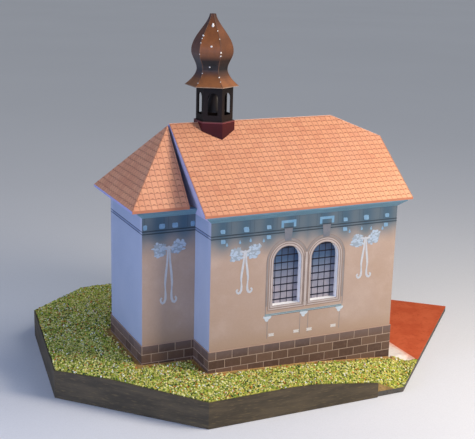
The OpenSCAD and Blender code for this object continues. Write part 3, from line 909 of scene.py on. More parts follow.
@dataclass
class Walls:
    """The walls' print: string lines, squares, bows, window mouldings and lattices. Sizes in mm."""

    string_z: tuple[float, float] = (81.1, 79.8)
    string_h: float = 0.5
    window_x: float = 10.2
    window_w: float = 14.8
    sill: float = 43.9
    head: float = 73.0
    bow_x: float = 32.6
    bow_z: float = 72.0
    key_x: float = 10.3
    bar_t: float = 0.12
    ribbon_path: tuple[Flat, ...] = (
        (0.4, 0), (0.7, 0.22), (1.35, 0.45), (1.75, 0.62), (1.6, 0.74), (1.45, 0.84), (1.6, 0.93),
        (2.2, 0.985), (3.0, 1.0), (3.7, 0.975), (4.0, 0.93), (3.6, 0.90), (3.1, 0.915))
    ribbon_widths: tuple[float, ...] = (
        0.8, 0.95, 1.15, 1.0, 0.65, 1.0, 1.15, 1.1, 1.0, 0.9, 0.8, 0.6, 0.35)
    knot: tuple[Flat, ...] = ((-2.6, 72.9), (-1, 72.5), (0, 72.3), (1, 72.5), (2.6, 72.9))
    label_shape: tuple[Flat, ...] = (
        (-3.9, 82.2), (-2.6, 82.2), (-2.6, 84.3), (2.6, 84.3), (2.6, 82.2), (3.9, 82.2), (3.9, 85.6),
        (-3.9, 85.6))
    bracket_shape: tuple[Flat, ...] = (
        (-2.1, 39.0), (-2.2, 38.2), (-1.4, 37.6), (-1.2, 36.8), (-0.5, 36.2), (0.4, 36.4), (0.6, 37.2),
        (1.6, 37.7), (2.1, 38.3), (2.0, 39.0))
    dark: Print = Print("string_ink", ink("25313b"), ink("33434f"))
    # Painted shade: blue for the white squares and drops in the eaves' shadow.
    square: Print = Print("square_ink_painted_shade", ink("6a92b2"), ink("86a8c0"), 1.2)
    pale: Print = Print("pale_ink", ink("a3b5c8"), ink("b4c2d0"), 1.6)
    leaf: Print = Print("leaf_shade", ink("8f9daa"), ink("9aa3ab"), 1.2)
    ribbon: Print = Print("ribbon_ink", ink("c4c6ca"), ink("b2b8c0"), 1.4)
    line: Print = Print("moulding_ink", ink("7d6b63"), ink("8d7a70"), 4.0)
    band: Print = Print("moulding_band", ink("bfb2ac"), ink("aea29d"), 5.0)
    shadow: Print = Print("moulding_shadow", ink("918987"), ink("877e79"), 6.0)
    # Painted shade: blue for the pale labels in the eaves' shadow.
    label: Print = Print("label_ink_painted_shade", ink("6391b3"), ink("7aa1bb"), 2.0)
    key: Print = Print("keystone_ink", ink("77787f"), ink("666b75"), 3.0)
    white: Print = Print("white_mark", ink("d8d3cf"), ink("c5bfba"), 1.5)
    sill_ink: Print = Print("sill_ink", ink("8da3a9"), ink("9fb1b5"), 3.0)
    bracket: Print = Print("bracket_ink", ink("c9d2d8"), ink("b7c4cd"), 1.5)
    bars: Print = Print("lattice_ink", ink("0a0e22"), ink("121832"), 3.0, 0.45)
    faces: dict[str, Face] = field(default_factory=dict)

    def measure(self) -> None:
        """Reads the faces' places from the CAD nodes."""
        x_axis, y_axis = Vector((1, 0, 0)), Vector((0, 1, 0))
        near, gable = span("nave_wall_near"), span("nave_gable_wall")
        side, end = span("chancel_wall_near"), span("chancel_wall_end")
        front = span("nave_front_wall")
        self.faces = {
            "near": Face(Vector((0, near[0].y, 0)), x_axis, -y_axis),
            "far": Face(Vector((0, -near[0].y, 0)), x_axis, y_axis),
            "gable": Face(Vector((gable[0].x, 0, 0)), y_axis, -x_axis),
            "front": Face(Vector((front[1].x, 0, 0)), y_axis, x_axis),
            "chancel_near": Face(Vector((0, side[0].y, 0)), x_axis, -y_axis),
            "chancel_far": Face(Vector((0, -side[0].y, 0)), x_axis, y_axis),
            "chancel_end": Face(Vector((end[0].x, 0, 0)), y_axis, -x_axis)}
        self.nave_x = near[1].x
        self.nave_y = -near[0].y
        self.chancel_y = -side[0].y
        self.chancel_x = side[0].x

    def dress_walls(self) -> None:
        """Gives each wall its printed plaster, and the end walls their painted shade."""
        plain = ShadedEndWall("end_wall_painted_shade")
        dress(PrintedWall("front_print", Side.ENTRANCE, self.nave_x, self.nave_y, 0), "nave_front_wall")
        for name, side in (("near", Side.NEAR), ("far", Side.FAR)):
            nave = PrintedWall(f"{name}_print", side, self.nave_y, self.nave_x, -self.nave_x)
            chancel = PrintedWall(f"chancel_{name}_print", side, self.chancel_y, 0, self.chancel_x)
            dress(nave, f"nave_wall_{name}")
            dress(chancel, f"chancel_wall_{name}")
        dress(plain, "nave_gable_wall", "chancel_wall_end", "chancel_cornice_end", "rake_coves")

    def string_lines(self) -> None:
        """Two dark lines right round the chapel, below the frieze."""
        runs = {"near": [(-self.nave_x, self.nave_x)], "far": [(-self.nave_x, self.nave_x)],
                "gable": [(-self.nave_y, -self.chancel_y), (self.chancel_y, self.nave_y)],
                "front": [(-self.nave_y, self.nave_y)],
                "chancel_near": [(self.chancel_x, -self.nave_x)],
                "chancel_far": [(self.chancel_x, -self.nave_x)],
                "chancel_end": [(-self.chancel_y, self.chancel_y)]}
        lines = Relief()
        for name, spans in runs.items():
            for low, high in spans:
                for z in self.string_z:
                    thin = 0.25 if name in ("gable", "chancel_end") else self.string_h
                    lines.band(self.faces[name], [(low, z), (high, z)], thin, 0.08)
        lines.piece("string_lines", self.dark, "printed_wall")

    def squares(self) -> None:
        """Small squares above and below the string, with drops beside them, printed white but coloured blue
        as painted shade under the eaves.
        """
        marks = Relief()
        for name in ("near", "far"):
            for sign in (-1, 1):
                for x, z, size in ((44.2, 83.1, 2.4), (32.3, 83.1, 3.0), (20.6, 83.1, 2.4),
                                   (43.9, 78.3, 2.4), (20.6, 78.3, 2.4)):
                    marks.patch(self.faces[name], self.ragged(
                        sign * x, z, size / 2, size / 2.3, 0.16, int(x * 7), 16, 9.0, -0.15))
                for x, z in ((42.0, 76.4), (35.4, 77.0), (30.0, 77.4), (23.2, 76.6)):
                    marks.patch(self.faces[name], self.drop(sign * x, z))
        for name in ("chancel_near", "chancel_far"):
            for x, size in ((-75.0, 2.0), (-66.7, 3.0), (-60.2, 3.0), (-51.4, 2.2)):
                marks.patch(self.faces[name], self.ragged(x, 83.0, size / 2, 1.3, 0.12, int(-x)))
        for y in (-36, -27, 27, 36):
            marks.patch(self.faces["front"], self.ragged(y, 83.0, 1.3, 1.3, 0.12, abs(y)))
            marks.patch(self.faces["front"], self.ragged(y, 78.2, 1.25, 1.25, 0.12, abs(y) + 3))
        marks.piece("pale_squares", self.square, "printed_wall")

    @staticmethod
    def ragged(u: float, v: float, a: float, b: float, rough: float, seed: int, points: int = 28,
               power: float = 5.0, tilt: float = 0.0) -> list[Flat]:
        """A rounded shape with a torn edge.

        Args:
            u: Its middle across.
            v: Its middle up.
            a: Half its width.
            b: Half its height.
            rough: How uneven its edge is, as a share.
            seed: Seed of the unevenness.
            points: Corners in its outline.
            power: How square it is.
            tilt: How far its top leans across.

        Returns:
            Its outline.
        """
        chance = random.Random(seed)
        out = []
        for i in range(points):
            t = math.tau * i / points
            c, s = math.cos(t), math.sin(t)
            r = (abs(c) ** power + abs(s) ** power) ** (-1 / power) * (1 - rough * chance.random())
            out.append((u + a * r * c + tilt * r * s, v + b * r * s))
        return out

    @staticmethod
    def drop(u: float, v: float, height: float = 2.0, wide: float = 0.55) -> list[Flat]:
        """A teardrop that hangs from its point."""
        foot = [(u + wide * math.cos(t), v + wide * math.sin(t))
                for t in (math.radians(a) for a in range(-200, 21, 20))]
        return foot + [(u, v + height - wide)]

    def bow(self, clusters: Relief, petals: Relief, tails: Relief, face: Face, x: float, foot: float,
            seed: int) -> None:
        """A bow of two leafy clusters with two hanging ribbons.

        Args:
            clusters: Takes the shade of the leafy clusters.
            petals: Takes the leaves on them.
            tails: Takes the ribbons.
            face: The wall's face.
            x: Its middle across.
            foot: Height of the ribbons' ends.
            seed: Seed of the ragged edges.
        """
        chance = random.Random(seed)
        for sign in (-1, 1):
            middle = x + sign * 4.6
            lean = 0.9 if sign > 0 else 0.2
            height = self.bow_z + 0.4 * sign
            shade = self.ragged(middle, height, 3.6, 3.7, 0.3, seed + sign, 44, 3.5, lean)
            clusters.patch(face, shade, 0.04)
            for k in range(26):
                across, rise = chance.uniform(-3.3, 3.3), chance.uniform(-3.4, 3.4)
                if abs(across) + abs(rise) > 5.2:
                    continue
                petal = self.ragged(middle + across + lean * 0.3 * rise, height + rise,
                                    chance.uniform(0.5, 1.15), chance.uniform(0.4, 0.8), 0.3,
                                    chance.randrange(9999), 9, 2.0, chance.uniform(-0.5, 0.5))
                petals.patch(face, petal, 0.055 + 0.001 * k)
            top, drop = 71.6, 71.6 - foot
            path = [(x + sign * u, top - drop * v) for u, v in self.ribbon_path]
            tails.band(face, path, self.ribbon_widths, 0.07)
        tails.band(face, [(x + u, z) for u, z in self.knot], 0.9, 0.075)
        tails.patch(face, self.ragged(x, 72.2, 1.0, 1.2, 0.25, seed + 5, 16, 2.0), 0.085)

    def bows(self) -> None:
        """The bows on the long walls, the chancel and the entrance wall."""
        clusters, petals, tails = Relief(), Relief(), Relief()
        for name in ("near", "far"):
            for i, sign in enumerate((-1, 1)):
                self.bow(clusters, petals, tails, self.faces[name], sign * self.bow_x, 52.4, 11 + 4 * i)
        for name in ("chancel_near", "chancel_far"):
            self.bow(clusters, petals, tails, self.faces[name], -63.3, 45.2, 23)
        for i, y in enumerate((-31.5, 31.5)):
            self.bow(clusters, petals, tails, self.faces["front"], y, 52.4, 31 + 4 * i)
        clusters.piece("bow_clusters", self.leaf, "printed_wall")
        petals.piece("bow_leaves", self.pale, "printed_wall")
        tails.piece("bow_ribbons", self.ribbon, "printed_wall")

    def arch_path(self, x: float, off: float, closed: bool = True, wide: float | None = None,
                  sill: float | None = None, head: float | None = None, steps: int = 24) -> list[Flat]:
        """The outline of an arched opening, moved outwards by off.

        Args:
            x: The opening's middle.
            off: How far outside its edge the path runs.
            closed: Whether it runs along the sill too.
            wide: The opening's width, a window's if not given.
            sill: Height of its foot.
            head: Height of its top.
            steps: Points round the arch.

        Returns:
            The path's points.
        """
        half = (wide or self.window_w) / 2
        foot = self.sill if sill is None else sill
        spring = (head or self.head) - half
        r = half + off
        base = foot - (off if closed else 0)
        arch = [(x + r * math.cos(math.pi * i / steps), spring + r * math.sin(math.pi * i / steps))
                for i in range(steps + 1)]
        return [(x + r, base)] + arch + [(x - r, base)]

    def mouldings(self) -> None:
        """Printed frames round the windows."""
        bands, lines, shadows = Relief(), Relief(), Relief()
        for name in ("near", "far"):
            face = self.faces[name]
            for sign in (-1, 1):
                x = sign * self.window_x
                for relief, off, wide, lift in ((bands, 0.55, 1.0, 0.05), (bands, 1.75, 0.5, 0.05),
                                                (lines, 0.1, 0.2, 0.07), (lines, 1.25, 0.3, 0.07),
                                                (lines, 2.3, 0.26, 0.07)):
                    relief.band(face, self.arch_path(x, off), wide, lift, True)
                shadows.band(face, self.arch_path(x, 3.15 if sign < 0 else 3.1, False), 0.9, 0.04)
                lines.band(face, self.arch_path(x, 3.7, False), 0.18, 0.06)
            bands.box(face, 0, 55.5, 1.2, 27, 0.09)
            for x in (-1.1, 1.1):
                lines.band(face, [(x, 42), (x, 69)], 0.22, 0.095)
            for x in (-21.1, 21.1):
                shadows.band(face, [(x, 40), (x, 65)], 0.5, 0.045)
            for x in (-19.9, -2.2, 2.2, 19.9):
                shadows.band(face, [(x, 38.6), (x, 27.5)], 0.35, 0.03)
        bands.piece("window_frames", self.band, "printed_wall")
        lines.piece("window_frame_lines", self.line, "printed_wall")
        shadows.piece("window_frame_shadows", self.shadow, "printed_wall")

    def keystones(self) -> None:
        """Keystones over the arches with their pale labels, coloured blue as painted shade, the sill line,
        its brackets and marks.
        """
        keys, labels, sills, brackets, marks, edges = (Relief() for _ in range(6))
        for name in ("near", "far"):
            face = self.faces[name]
            for sign in (-1, 1):
                x = sign * self.key_x
                shape = [(x - 1.7, 75.6), (x + 1.7, 75.6), (x + 2.2, 81.7), (x - 2.2, 81.7)]
                keys.patch(face, shape, 0.1)
                edges.band(face, [(x - 2.5, 82.0), (x + 2.5, 82.0)], 0.45, 0.12)
                labels.patch(face, [(x + u, z) for u, z in self.label_shape], 0.07)
            sills.box(face, -0.3, 39.5, 42.2, 1.05, 0.07)
            for z in (39.0, 39.7):
                edges.band(face, [(-21.4, z), (20.8, z)], 0.16, 0.09)
            for x in (-20.0, -0.2, 19.7):
                brackets.patch(face, [(x + u, z) for u, z in self.bracket_shape], 0.08)
            for x in (-17.6, -4.1, 3.1, 16.6):
                marks.box(face, x, 29.6, 3.0, 0.6, 0.06)
                marks.box(face, x, 28.7, 3.0, 0.5, 0.06)
                marks.box(face, x, 29.15, 2.4, 0.5, 0.05)
        keys.piece("keystones", self.key, "printed_wall")
        labels.piece("keystone_labels", self.label, "printed_wall")
        sills.piece("sill_bands", self.sill_ink, "printed_wall")
        brackets.piece("sill_brackets", self.bracket, "printed_wall")
        marks.piece("foot_marks", self.white, "printed_wall")
        edges.piece("keystone_lines", self.dark, "printed_wall")

    def lattices(self) -> None:
        """Dark bars printed on the panes, repeated by Geometry Nodes."""
        low, high = span("window_panes")
        maker = GridMaker("bar_grid", self.bars.material())
        whole = bmesh.new()
        pitch_x, pitch_z, rows = 3.35, 3.65, 8
        tall = high.z - low.z - 0.4
        for columns, count, wide, long in ((4, 1, 0.32, tall), (1, rows, self.window_w + 3, 0.6)):
            bar = box_mesh("bar", wide, long, self.bar_t)
            made = maker.run(bar, {"Columns": columns, "Rows": count, "Width": pitch_x * MM,
                                   "Pitch": pitch_z * MM, "Stagger": 0.0, "Seed": 5})
            for y in (low.y, high.y):
                out = -1 if y < 0 else 1
                for sign in (-1, 1):
                    part = made.copy()
                    turn = Matrix.Rotation(math.pi / 2, 4, "X")
                    place = Matrix.Translation(Vector((
                        sign * self.window_x, y + out * 0.02, self.sill + 14.6)) * MM)
                    part.transform(place @ turn)
                    whole.from_mesh(into_mesh(part, "bars"))
            made.free()
        add_piece("window_lattice", whole, self.bars)

    def build(self) -> None:
        """Builds all of the walls' print."""
        self.measure()
        self.dress_walls()
        self.string_lines()
        self.squares()
        self.bows()
        self.mouldings()
        self.keystones()
        self.lattices()
        low, high = span("window_panes")
        dress(PanePrint("pane_print", low.z, high.z), "window_panes")


@dataclass
class Plinth:
    """Printed stone courses round the foot of the walls. Sizes in mm."""

    course: float = 4.4
    block: float = 8.4
    joint: float = 0.36
    lift: float = 0.07
    bond: float = 0.45
    mortar: Print = Print("mortar", ink("bda692"), ink("a8917e"), 2.0)
    top_line: Print = Print("plinth_top_line", ink("a98a78"), ink("b89784"), 4.0)

    def runs(self) -> list[tuple[Face, float, float]]:
        """Each straight run of plinth as its face and its two ends."""
        x_axis, y_axis = Vector((1, 0, 0)), Vector((0, 1, 0))
        side, gable = span("nave_plinth_sides"), span("nave_plinth_gable")
        front = span("nave_plinth_front")
        choir, end = span("chancel_plinth_sides"), span("chancel_plinth_end")
        door = span("door_step")
        near, far = Vector((0, side[0].y, 0)), Vector((0, side[1].y, 0))
        return [
            (Face(near, x_axis, -y_axis), gable[0].x, front[1].x),
            (Face(far, x_axis, y_axis), gable[0].x, front[1].x),
            (Face(Vector((gable[0].x, 0, 0)), y_axis, -x_axis), side[0].y, choir[0].y),
            (Face(Vector((gable[0].x, 0, 0)), y_axis, -x_axis), choir[1].y, side[1].y),
            (Face(Vector((front[1].x, 0, 0)), y_axis, x_axis), side[0].y, door[0].y),
            (Face(Vector((front[1].x, 0, 0)), y_axis, x_axis), door[1].y, side[1].y),
            (Face(Vector((0, choir[0].y, 0)), x_axis, -y_axis), end[0].x, gable[0].x),
            (Face(Vector((0, choir[1].y, 0)), x_axis, y_axis), end[0].x, gable[0].x),
            (Face(Vector((end[0].x, 0, 0)), y_axis, -x_axis), choir[0].y, choir[1].y)]

    def build(self) -> None:
        """Lays the blocks in running bond, down into the ground, and lines their top."""
        dress(self.mortar, "nave_plinth_sides", "nave_plinth_gable", "nave_plinth_front",
              "chancel_plinth_sides", "chancel_plinth_end")
        top = span("nave_plinth_sides")[1].z
        stone = StonePrint("stone_print")
        maker = GridMaker("stone_grid", stone.material())
        whole, line = bmesh.new(), Relief()
        for i, (face, low, high) in enumerate(self.runs()):
            block = box_mesh("block", self.block - self.joint, self.course - self.joint, self.lift + SUNK)
            rows, columns = 4, int((high - low) / self.block) + 3
            laid = maker.run(block, {"Columns": columns, "Rows": rows, "Width": self.block * MM,
                                     "Pitch": self.course * MM, "Stagger": self.block * self.bond * MM,
                                     "Seed": 20 + i})
            middle = (low + high) / 2
            centre = face.at(middle, top - rows * self.course / 2, (self.lift - SUNK) / 2)
            turn = Matrix((face.across, face.up, face.across.cross(face.up))).transposed().to_4x4()
            laid.transform(Matrix.Translation(centre) @ turn)
            trim(laid, face.at(low, 0, 0), -face.across)
            trim(laid, face.at(high, 0, 0), face.across)
            whole.from_mesh(into_mesh(laid, "laid"))
            line.band(face, [(low, top - 0.1), (high, top - 0.1)], 0.28, 0.09)
        bmesh.ops.recalc_face_normals(whole, faces=whole.faces)
        add_piece("plinth_stones", whole, stone)
        line.piece("plinth_top_line", self.top_line, "printed_stone")


@dataclass
class Slope:
    """One roof slope: its outline corners in mm, the first two along the eave."""

    name: str
    node: str
    corners: list[Vector]

    def frame(self) -> tuple[Vector, Vector, Vector]:
        """Directions along the eave, up the slope and out of it."""
        along = (self.corners[1] - self.corners[0]).normalized()
        out = along.cross(self.corners[-1] - self.corners[0]).normalized()
        if out.z < 0:
            out = -out
        up = out.cross(along)
        if up.z < 0:
            up = -up
        return along, up, out


@dataclass
class Roofs:
    """Tiles on every slope and bare card along the edges. Sizes in mm."""

    tile_w: float = 2.9
    tile_h: float = 3.0
    wave: float = 0.48
    thick: float = 0.12
    line_w: float = 0.34
    lining_in: float = 0.2
    lining_drop: float = 1.05
    lining_t: float = 0.3
    card: Print = Print("card_edge", ink("f0c9b4"), ink("dca88e"), 2.0)
    clay: TileFace = TileFace("clay_tile")

    def tile(self) -> bpy.types.Mesh:
        """One tile as a thin wedge with a wavy foot, and a marked line along it."""
        steps = 8
        shape = bmesh.new()
        mark = shape.verts.layers.float.new("line")
        rows = []
        gap = 0.05
        for part, level in ((0, self.thick * 0.2), (1, self.thick), (2, self.thick), (3, -SUNK)):
            row = []
            for i in range(steps + 1):
                u = -self.tile_w / 2 + gap + (self.tile_w - 2 * gap) * i / steps
                t = i / steps
                foot = -self.tile_h / 2 - self.wave * math.cos(math.tau * t) * (0.6 + 0.4 * t)
                v = (self.tile_h / 2 - 0.1, foot + self.line_w, foot, foot)[part]
                vert = shape.verts.new((u * MM, v * MM, level * MM))
                vert[mark] = 1.0 if part >= 2 else (0.4 if i in (0, steps) else 0.0)
                row.append(vert)
            rows.append(row)
        head = []
        for vert in rows[0]:
            copy = shape.verts.new((vert.co.x, vert.co.y, -SUNK * MM))
            head.append(copy)
        rows.append(head)
        for a, b in zip(rows, rows[1:]):
            for i in range(steps):
                shape.faces.new((a[i], a[i + 1], b[i + 1], b[i]))
        for i in range(steps):
            shape.faces.new((head[i], head[i + 1], rows[0][i + 1], rows[0][i]))
        for k in (0, steps):
            shape.faces.new([row[k] for row in rows])
        bmesh.ops.recalc_face_normals(shape, faces=shape.faces)
        return into_mesh(shape, "tile")

    def slopes(self) -> list[Slope]:
        """Every slope's outline, read from the CAD nodes."""
        near, hip = span("nave_roof_near"), span("nave_half_hip")
        choir, end = span("chancel_roof_near"), span("chancel_roof_end")
        eave_z = near[1].z - (near[1].y - near[0].y) * self.pitch(near)
        hip_z = near[1].z + hip[0].y * self.pitch(near)
        out = []
        for sign, side in ((1, "near"), (-1, "far")):
            flip = Vector((1, sign, 1))
            corners = [Vector((near[0].x, near[0].y, eave_z)), Vector((near[1].x, near[0].y, eave_z)),
                       Vector((near[1].x, hip[0].y, hip_z)), Vector((hip[0].x, 0, near[1].z)),
                       Vector((near[0].x, 0, near[1].z))]
            out.append(Slope(f"nave_tiles_{side}", f"nave_roof_{side}", [c * flip for c in corners]))
            low = choir[1].z - (choir[1].y - choir[0].y) * self.pitch(choir)
            corners = [Vector((choir[0].x, choir[0].y, low)), Vector((choir[1].x, choir[0].y, low)),
                       Vector((choir[1].x, 0, choir[1].z))]
            out.append(Slope(f"chancel_tiles_{side}", f"chancel_roof_{side}", [c * flip for c in corners]))
        out.append(Slope("hip_tiles", "nave_half_hip", [
            Vector((hip[1].x, hip[0].y, hip_z)), Vector((hip[1].x, -hip[0].y, hip_z)),
            Vector((hip[0].x, 0, near[1].z))]))
        out.append(Slope("chancel_tiles_end", "chancel_roof_end", [
            Vector((end[0].x, end[0].y, low)), Vector((end[0].x, end[1].y, low)),
            Vector((end[1].x, 0, end[1].z))]))
        return out

    @staticmethod
    def pitch(box: tuple[Vector, Vector]) -> float:
        """Rise over run of a slope that leans in Y, from its box and the card's thickness."""
        run = box[1].y - box[0].y
        rise = box[1].z - box[0].z
        slope = rise / run
        for _ in range(8):
            slope = (rise - ROOF_CARD * math.sqrt(1 + slope * slope)) / run
        return slope

    def build(self) -> None:
        """Tiles each slope, trims the tiles at its edges, and adds the card's bare edges."""
        maker = GridMaker("tile_grid", self.clay.material())
        tile = self.tile()
        edges = Relief()
        for k, slope in enumerate(self.slopes()):
            along, up, out = slope.frame()
            dress(TilePrint(f"{slope.node}_card", out), slope.node)
            origin = slope.corners[0]
            width = (slope.corners[1] - origin).length
            height = max((c - origin).dot(up) for c in slope.corners)
            columns, rows = int(width / self.tile_w) + 2, int(height / self.tile_h) + 2
            laid = maker.run(tile.copy(), {"Columns": columns, "Rows": rows, "Width": self.tile_w * MM,
                                           "Pitch": self.tile_h * MM, "Stagger": 0.0, "Seed": 40 + k})
            middle = origin + along * width / 2 + up * (rows * self.tile_h / 2 - 0.75)
            turn = Matrix((along, up, along.cross(up))).transposed()
            if turn.col[2].dot(out) < 0:
                turn = Matrix((-along, up, out)).transposed()
            laid.transform(Matrix.Translation(middle * MM) @ turn.to_4x4())
            count = len(slope.corners)
            centre = sum(slope.corners, Vector()) / count
            for i, corner in enumerate(slope.corners):
                way = (slope.corners[(i + 1) % count] - corner).normalized()
                away = way.cross(out)
                if away.dot(centre - corner) > 0:
                    away = -away
                trim(laid, (corner - away * 0.12) * MM, away)
            add_piece(slope.name, laid, self.clay)
            face = Face(Vector(), along, out, up)
            lift = origin.dot(out)
            for i, corner in enumerate(slope.corners):
                other = slope.corners[(i + 1) % count]
                if slope.name.startswith("chancel") or min(corner.z, other.z) < slope.corners[0].z + 5:
                    continue
                if abs(corner.x - other.x) < 1 and abs(corner.z - other.z) > 5:
                    continue
                inward = centre - (corner + other) / 2
                inward -= inward.project(other - corner)
                a, b = (p + inward.normalized() * 0.14 for p in (corner, other))
                self.edge_band(edges, face, a, b, lift)
        bpy.data.meshes.remove(tile)
        edges.piece("ridge_paper", self.card, "printed_tile")
        self.gable_lining()

    def gable_lining(self) -> None:
        """A thin card from the gable wall out to the rakes, which closes the gap by the chancel's roof,
        coloured lavender as painted shade.
        """
        near, gable = span("nave_roof_near"), span("nave_gable_wall")
        foot = span("nave_cornice_sides")[0].z
        reach = -span("nave_wall_near")[0].y
        slope, steps = self.pitch(near), 24
        shape = bmesh.new()
        rings = []
        for i in range(steps + 1):
            y = reach * (2 * i / steps - 1)
            low = Vector((gable[0].x - 0.05, y, foot))
            high = Vector((near[0].x + self.lining_in, y, near[1].z - abs(y) * slope - self.lining_drop))
            back = Vector((self.lining_t, 0, 0))
            rings.append([shape.verts.new(v * MM) for v in (low, high, high + back, low + back)])
        skin(shape, rings)
        bmesh.ops.recalc_face_normals(shape, faces=shape.faces)
        # Painted shade: the white card is coloured lavender for the blue shade under the rakes.
        card = Print("rake_card_painted_shade", ink("c4c0d8"), ink("b2aecb"), 6.0)
        add_piece("gable_lining", shape, card)

    @staticmethod
    def edge_band(edges: Relief, face: Face, start: Vector, end: Vector, lift: float) -> None:
        """A narrow strip of bare card along one edge of a slope."""
        low = [(p.dot(face.across), p.dot(face.up)) for p in (start, end)]
        way = (Vector(low[1]) - Vector(low[0])).normalized() * 0.14
        off = Vector((-way.y, way.x))
        outline = [Vector(low[0]) - off, Vector(low[1]) - off, Vector(low[1]) + off, Vector(low[0]) + off]
        base = Face(face.out * lift, face.across, face.out, face.up)
        edges.patch(base, [tuple(c) for c in outline], 0.16)


@dataclass
class Turret:
    """The turret's card, its dome, the glue that shows along its seams, and white drops as painted glints.
    """

    left_seam: float = -150
    right_seam: float = -90
    # White beads on the seams: partly glue, partly painted glints.
    left_beads: tuple[Flat, ...] = (
        (168.0, 0.5), (166.7, 0.32), (164.7, 0.3), (159.5, 0.24), (150.4, 0.26), (146.0, 0.3))
    right_beads: tuple[Flat, ...] = (
        (170.2, 0.3), (166.6, 0.26), (160.5, 0.42), (158.9, 0.36), (148.8, 0.34), (146.8, 0.26))
    # Painted highlights: white drops on the gore stand for glints on the gloss.
    glint_beads: tuple[tuple[float, float, float, float], ...] = (
        (0.62, 172.2, 0.55, 2.9), (0.55, 163.2, 0.5, 1.0), (0.45, 153.4, 0.34, 1.0))

    def seam(self, angle: float) -> list[Vector]:
        """Points up one seam of the dome, from rim to tip, read from the CAD node."""
        low, high = span("onion_dome")
        middle = (low + high) / 2
        best: dict[float, tuple[float, Vector]] = {}
        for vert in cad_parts["onion_dome"].data.vertices:
            place = vert.co / MM
            off = place - middle
            reach = math.hypot(off.x, off.y)
            turn = math.degrees(math.atan2(off.y, off.x)) - angle
            if abs((turn + 180) % 360 - 180) < 2:
                level = round(place.z, 1)
                if level not in best or best[level][0] < reach:
                    best[level] = (reach, place)
        return [best[level][1] for level in sorted(best)]

    def on_seam(self, angle: float, height: float) -> Vector:
        """The place on a seam at a height."""
        points = self.seam(angle)
        for a, b in zip(points, points[1:]):
            if a.z <= height <= b.z:
                return a.lerp(b, (height - a.z) / (b.z - a.z))
        return points[-1]

    def glue(self) -> None:
        """White beads along two seams, partly glue and partly painted glints, and on the gore a tall drop
        near the tip and specks as painted glints.
        """
        beads = Relief()
        low, high = span("onion_dome")
        middle = (low + high) / 2
        spots = [(self.left_seam, z, r) for z, r in self.left_beads]
        spots += [(self.right_seam, z, r) for z, r in self.right_beads]
        for angle, z, size in spots:
            place = self.on_seam(angle, z)
            out = Vector((place.x - middle.x, place.y, 0)).normalized()
            beads.blob(place * MM, size * MM, out * 0.5)
        for share, z, size, tall in self.glint_beads:
            a, b = self.on_seam(self.left_seam, z), self.on_seam(self.right_seam, z)
            place = a.lerp(b, share)
            out = Vector((place.x - middle.x, place.y, 0)).normalized()
            before = len(beads.mesh.verts)
            beads.blob(Vector(), size * MM, out * 0.6)
            beads.mesh.verts.ensure_lookup_table()
            for vert in beads.mesh.verts[before:]:
                vert.co.z *= tall
                vert.co += place * MM
        # One white finish for the seam glue and the painted glints.
        beads.piece("glue_and_glint_beads", Print("glue", ink("fbf6ea"), ink("efe6d6"), 0.5, 0.2), "glazed_card")

    def seam_lines(self) -> None:
        """A thin paler line down each seam of the dome, where the card's edge shows."""
        lines = Relief()
        for k in range(6):
            points = self.seam(-90 + 60 * k)
            rings = []
            for place in points:
                turn = math.radians(-90 + 60 * k)
                radial = Vector((math.cos(turn), math.sin(turn), 0))
                side = Vector((-radial.y, radial.x, 0)) * 0.09
                corners = (place - radial * 0.15 - side * 1.5, place + radial * 0.035 - side,
                           place + radial * 0.035 + side, place - radial * 0.15 + side * 1.5)
                rings.append([lines.mesh.verts.new(c * MM) for c in corners])
            skin(lines.mesh, rings)
        lines.piece("dome_seams", Print("seam_card", ink("5a3a2c"), ink("7d5c48"), 1.5, 0.5), "glazed_card")

    def build(self) -> None:
        """Dresses the turret's nodes and adds the glue beads, painted glints and seams."""
        foot, lantern, dome = span("turret_base"), span("lantern_wall"), span("onion_dome")
        floor = span("lantern_floor")
        maroon = TurretCard("maroon_card", foot[0].z, floor[0].z,
                            ink("3a0d12"), ink("4a1115"), ink("8a4548"), 0.3)
        dress(maroon, "turret_base")
        dress(Print("floor_card", ink("5a3231"), ink("6e423d"), 2.0), "lantern_floor")
        dark = TurretCard("lantern_card", lantern[0].z, lantern[1].z,
                          ink("1f130f"), ink("0b090a"), ink("0b090a"))
        dress(dark, "lantern_wall", "lantern_ceiling")
        dress(DomeCard("dome_card", dome[0].z, dome[1].z), "onion_dome")
        dress(Print("bell_card", ink("1d1715"), ink("2c221d"), 2.0, 0.45), "bell", "bell_hanger")
        self.glue()
        self.seam_lines()


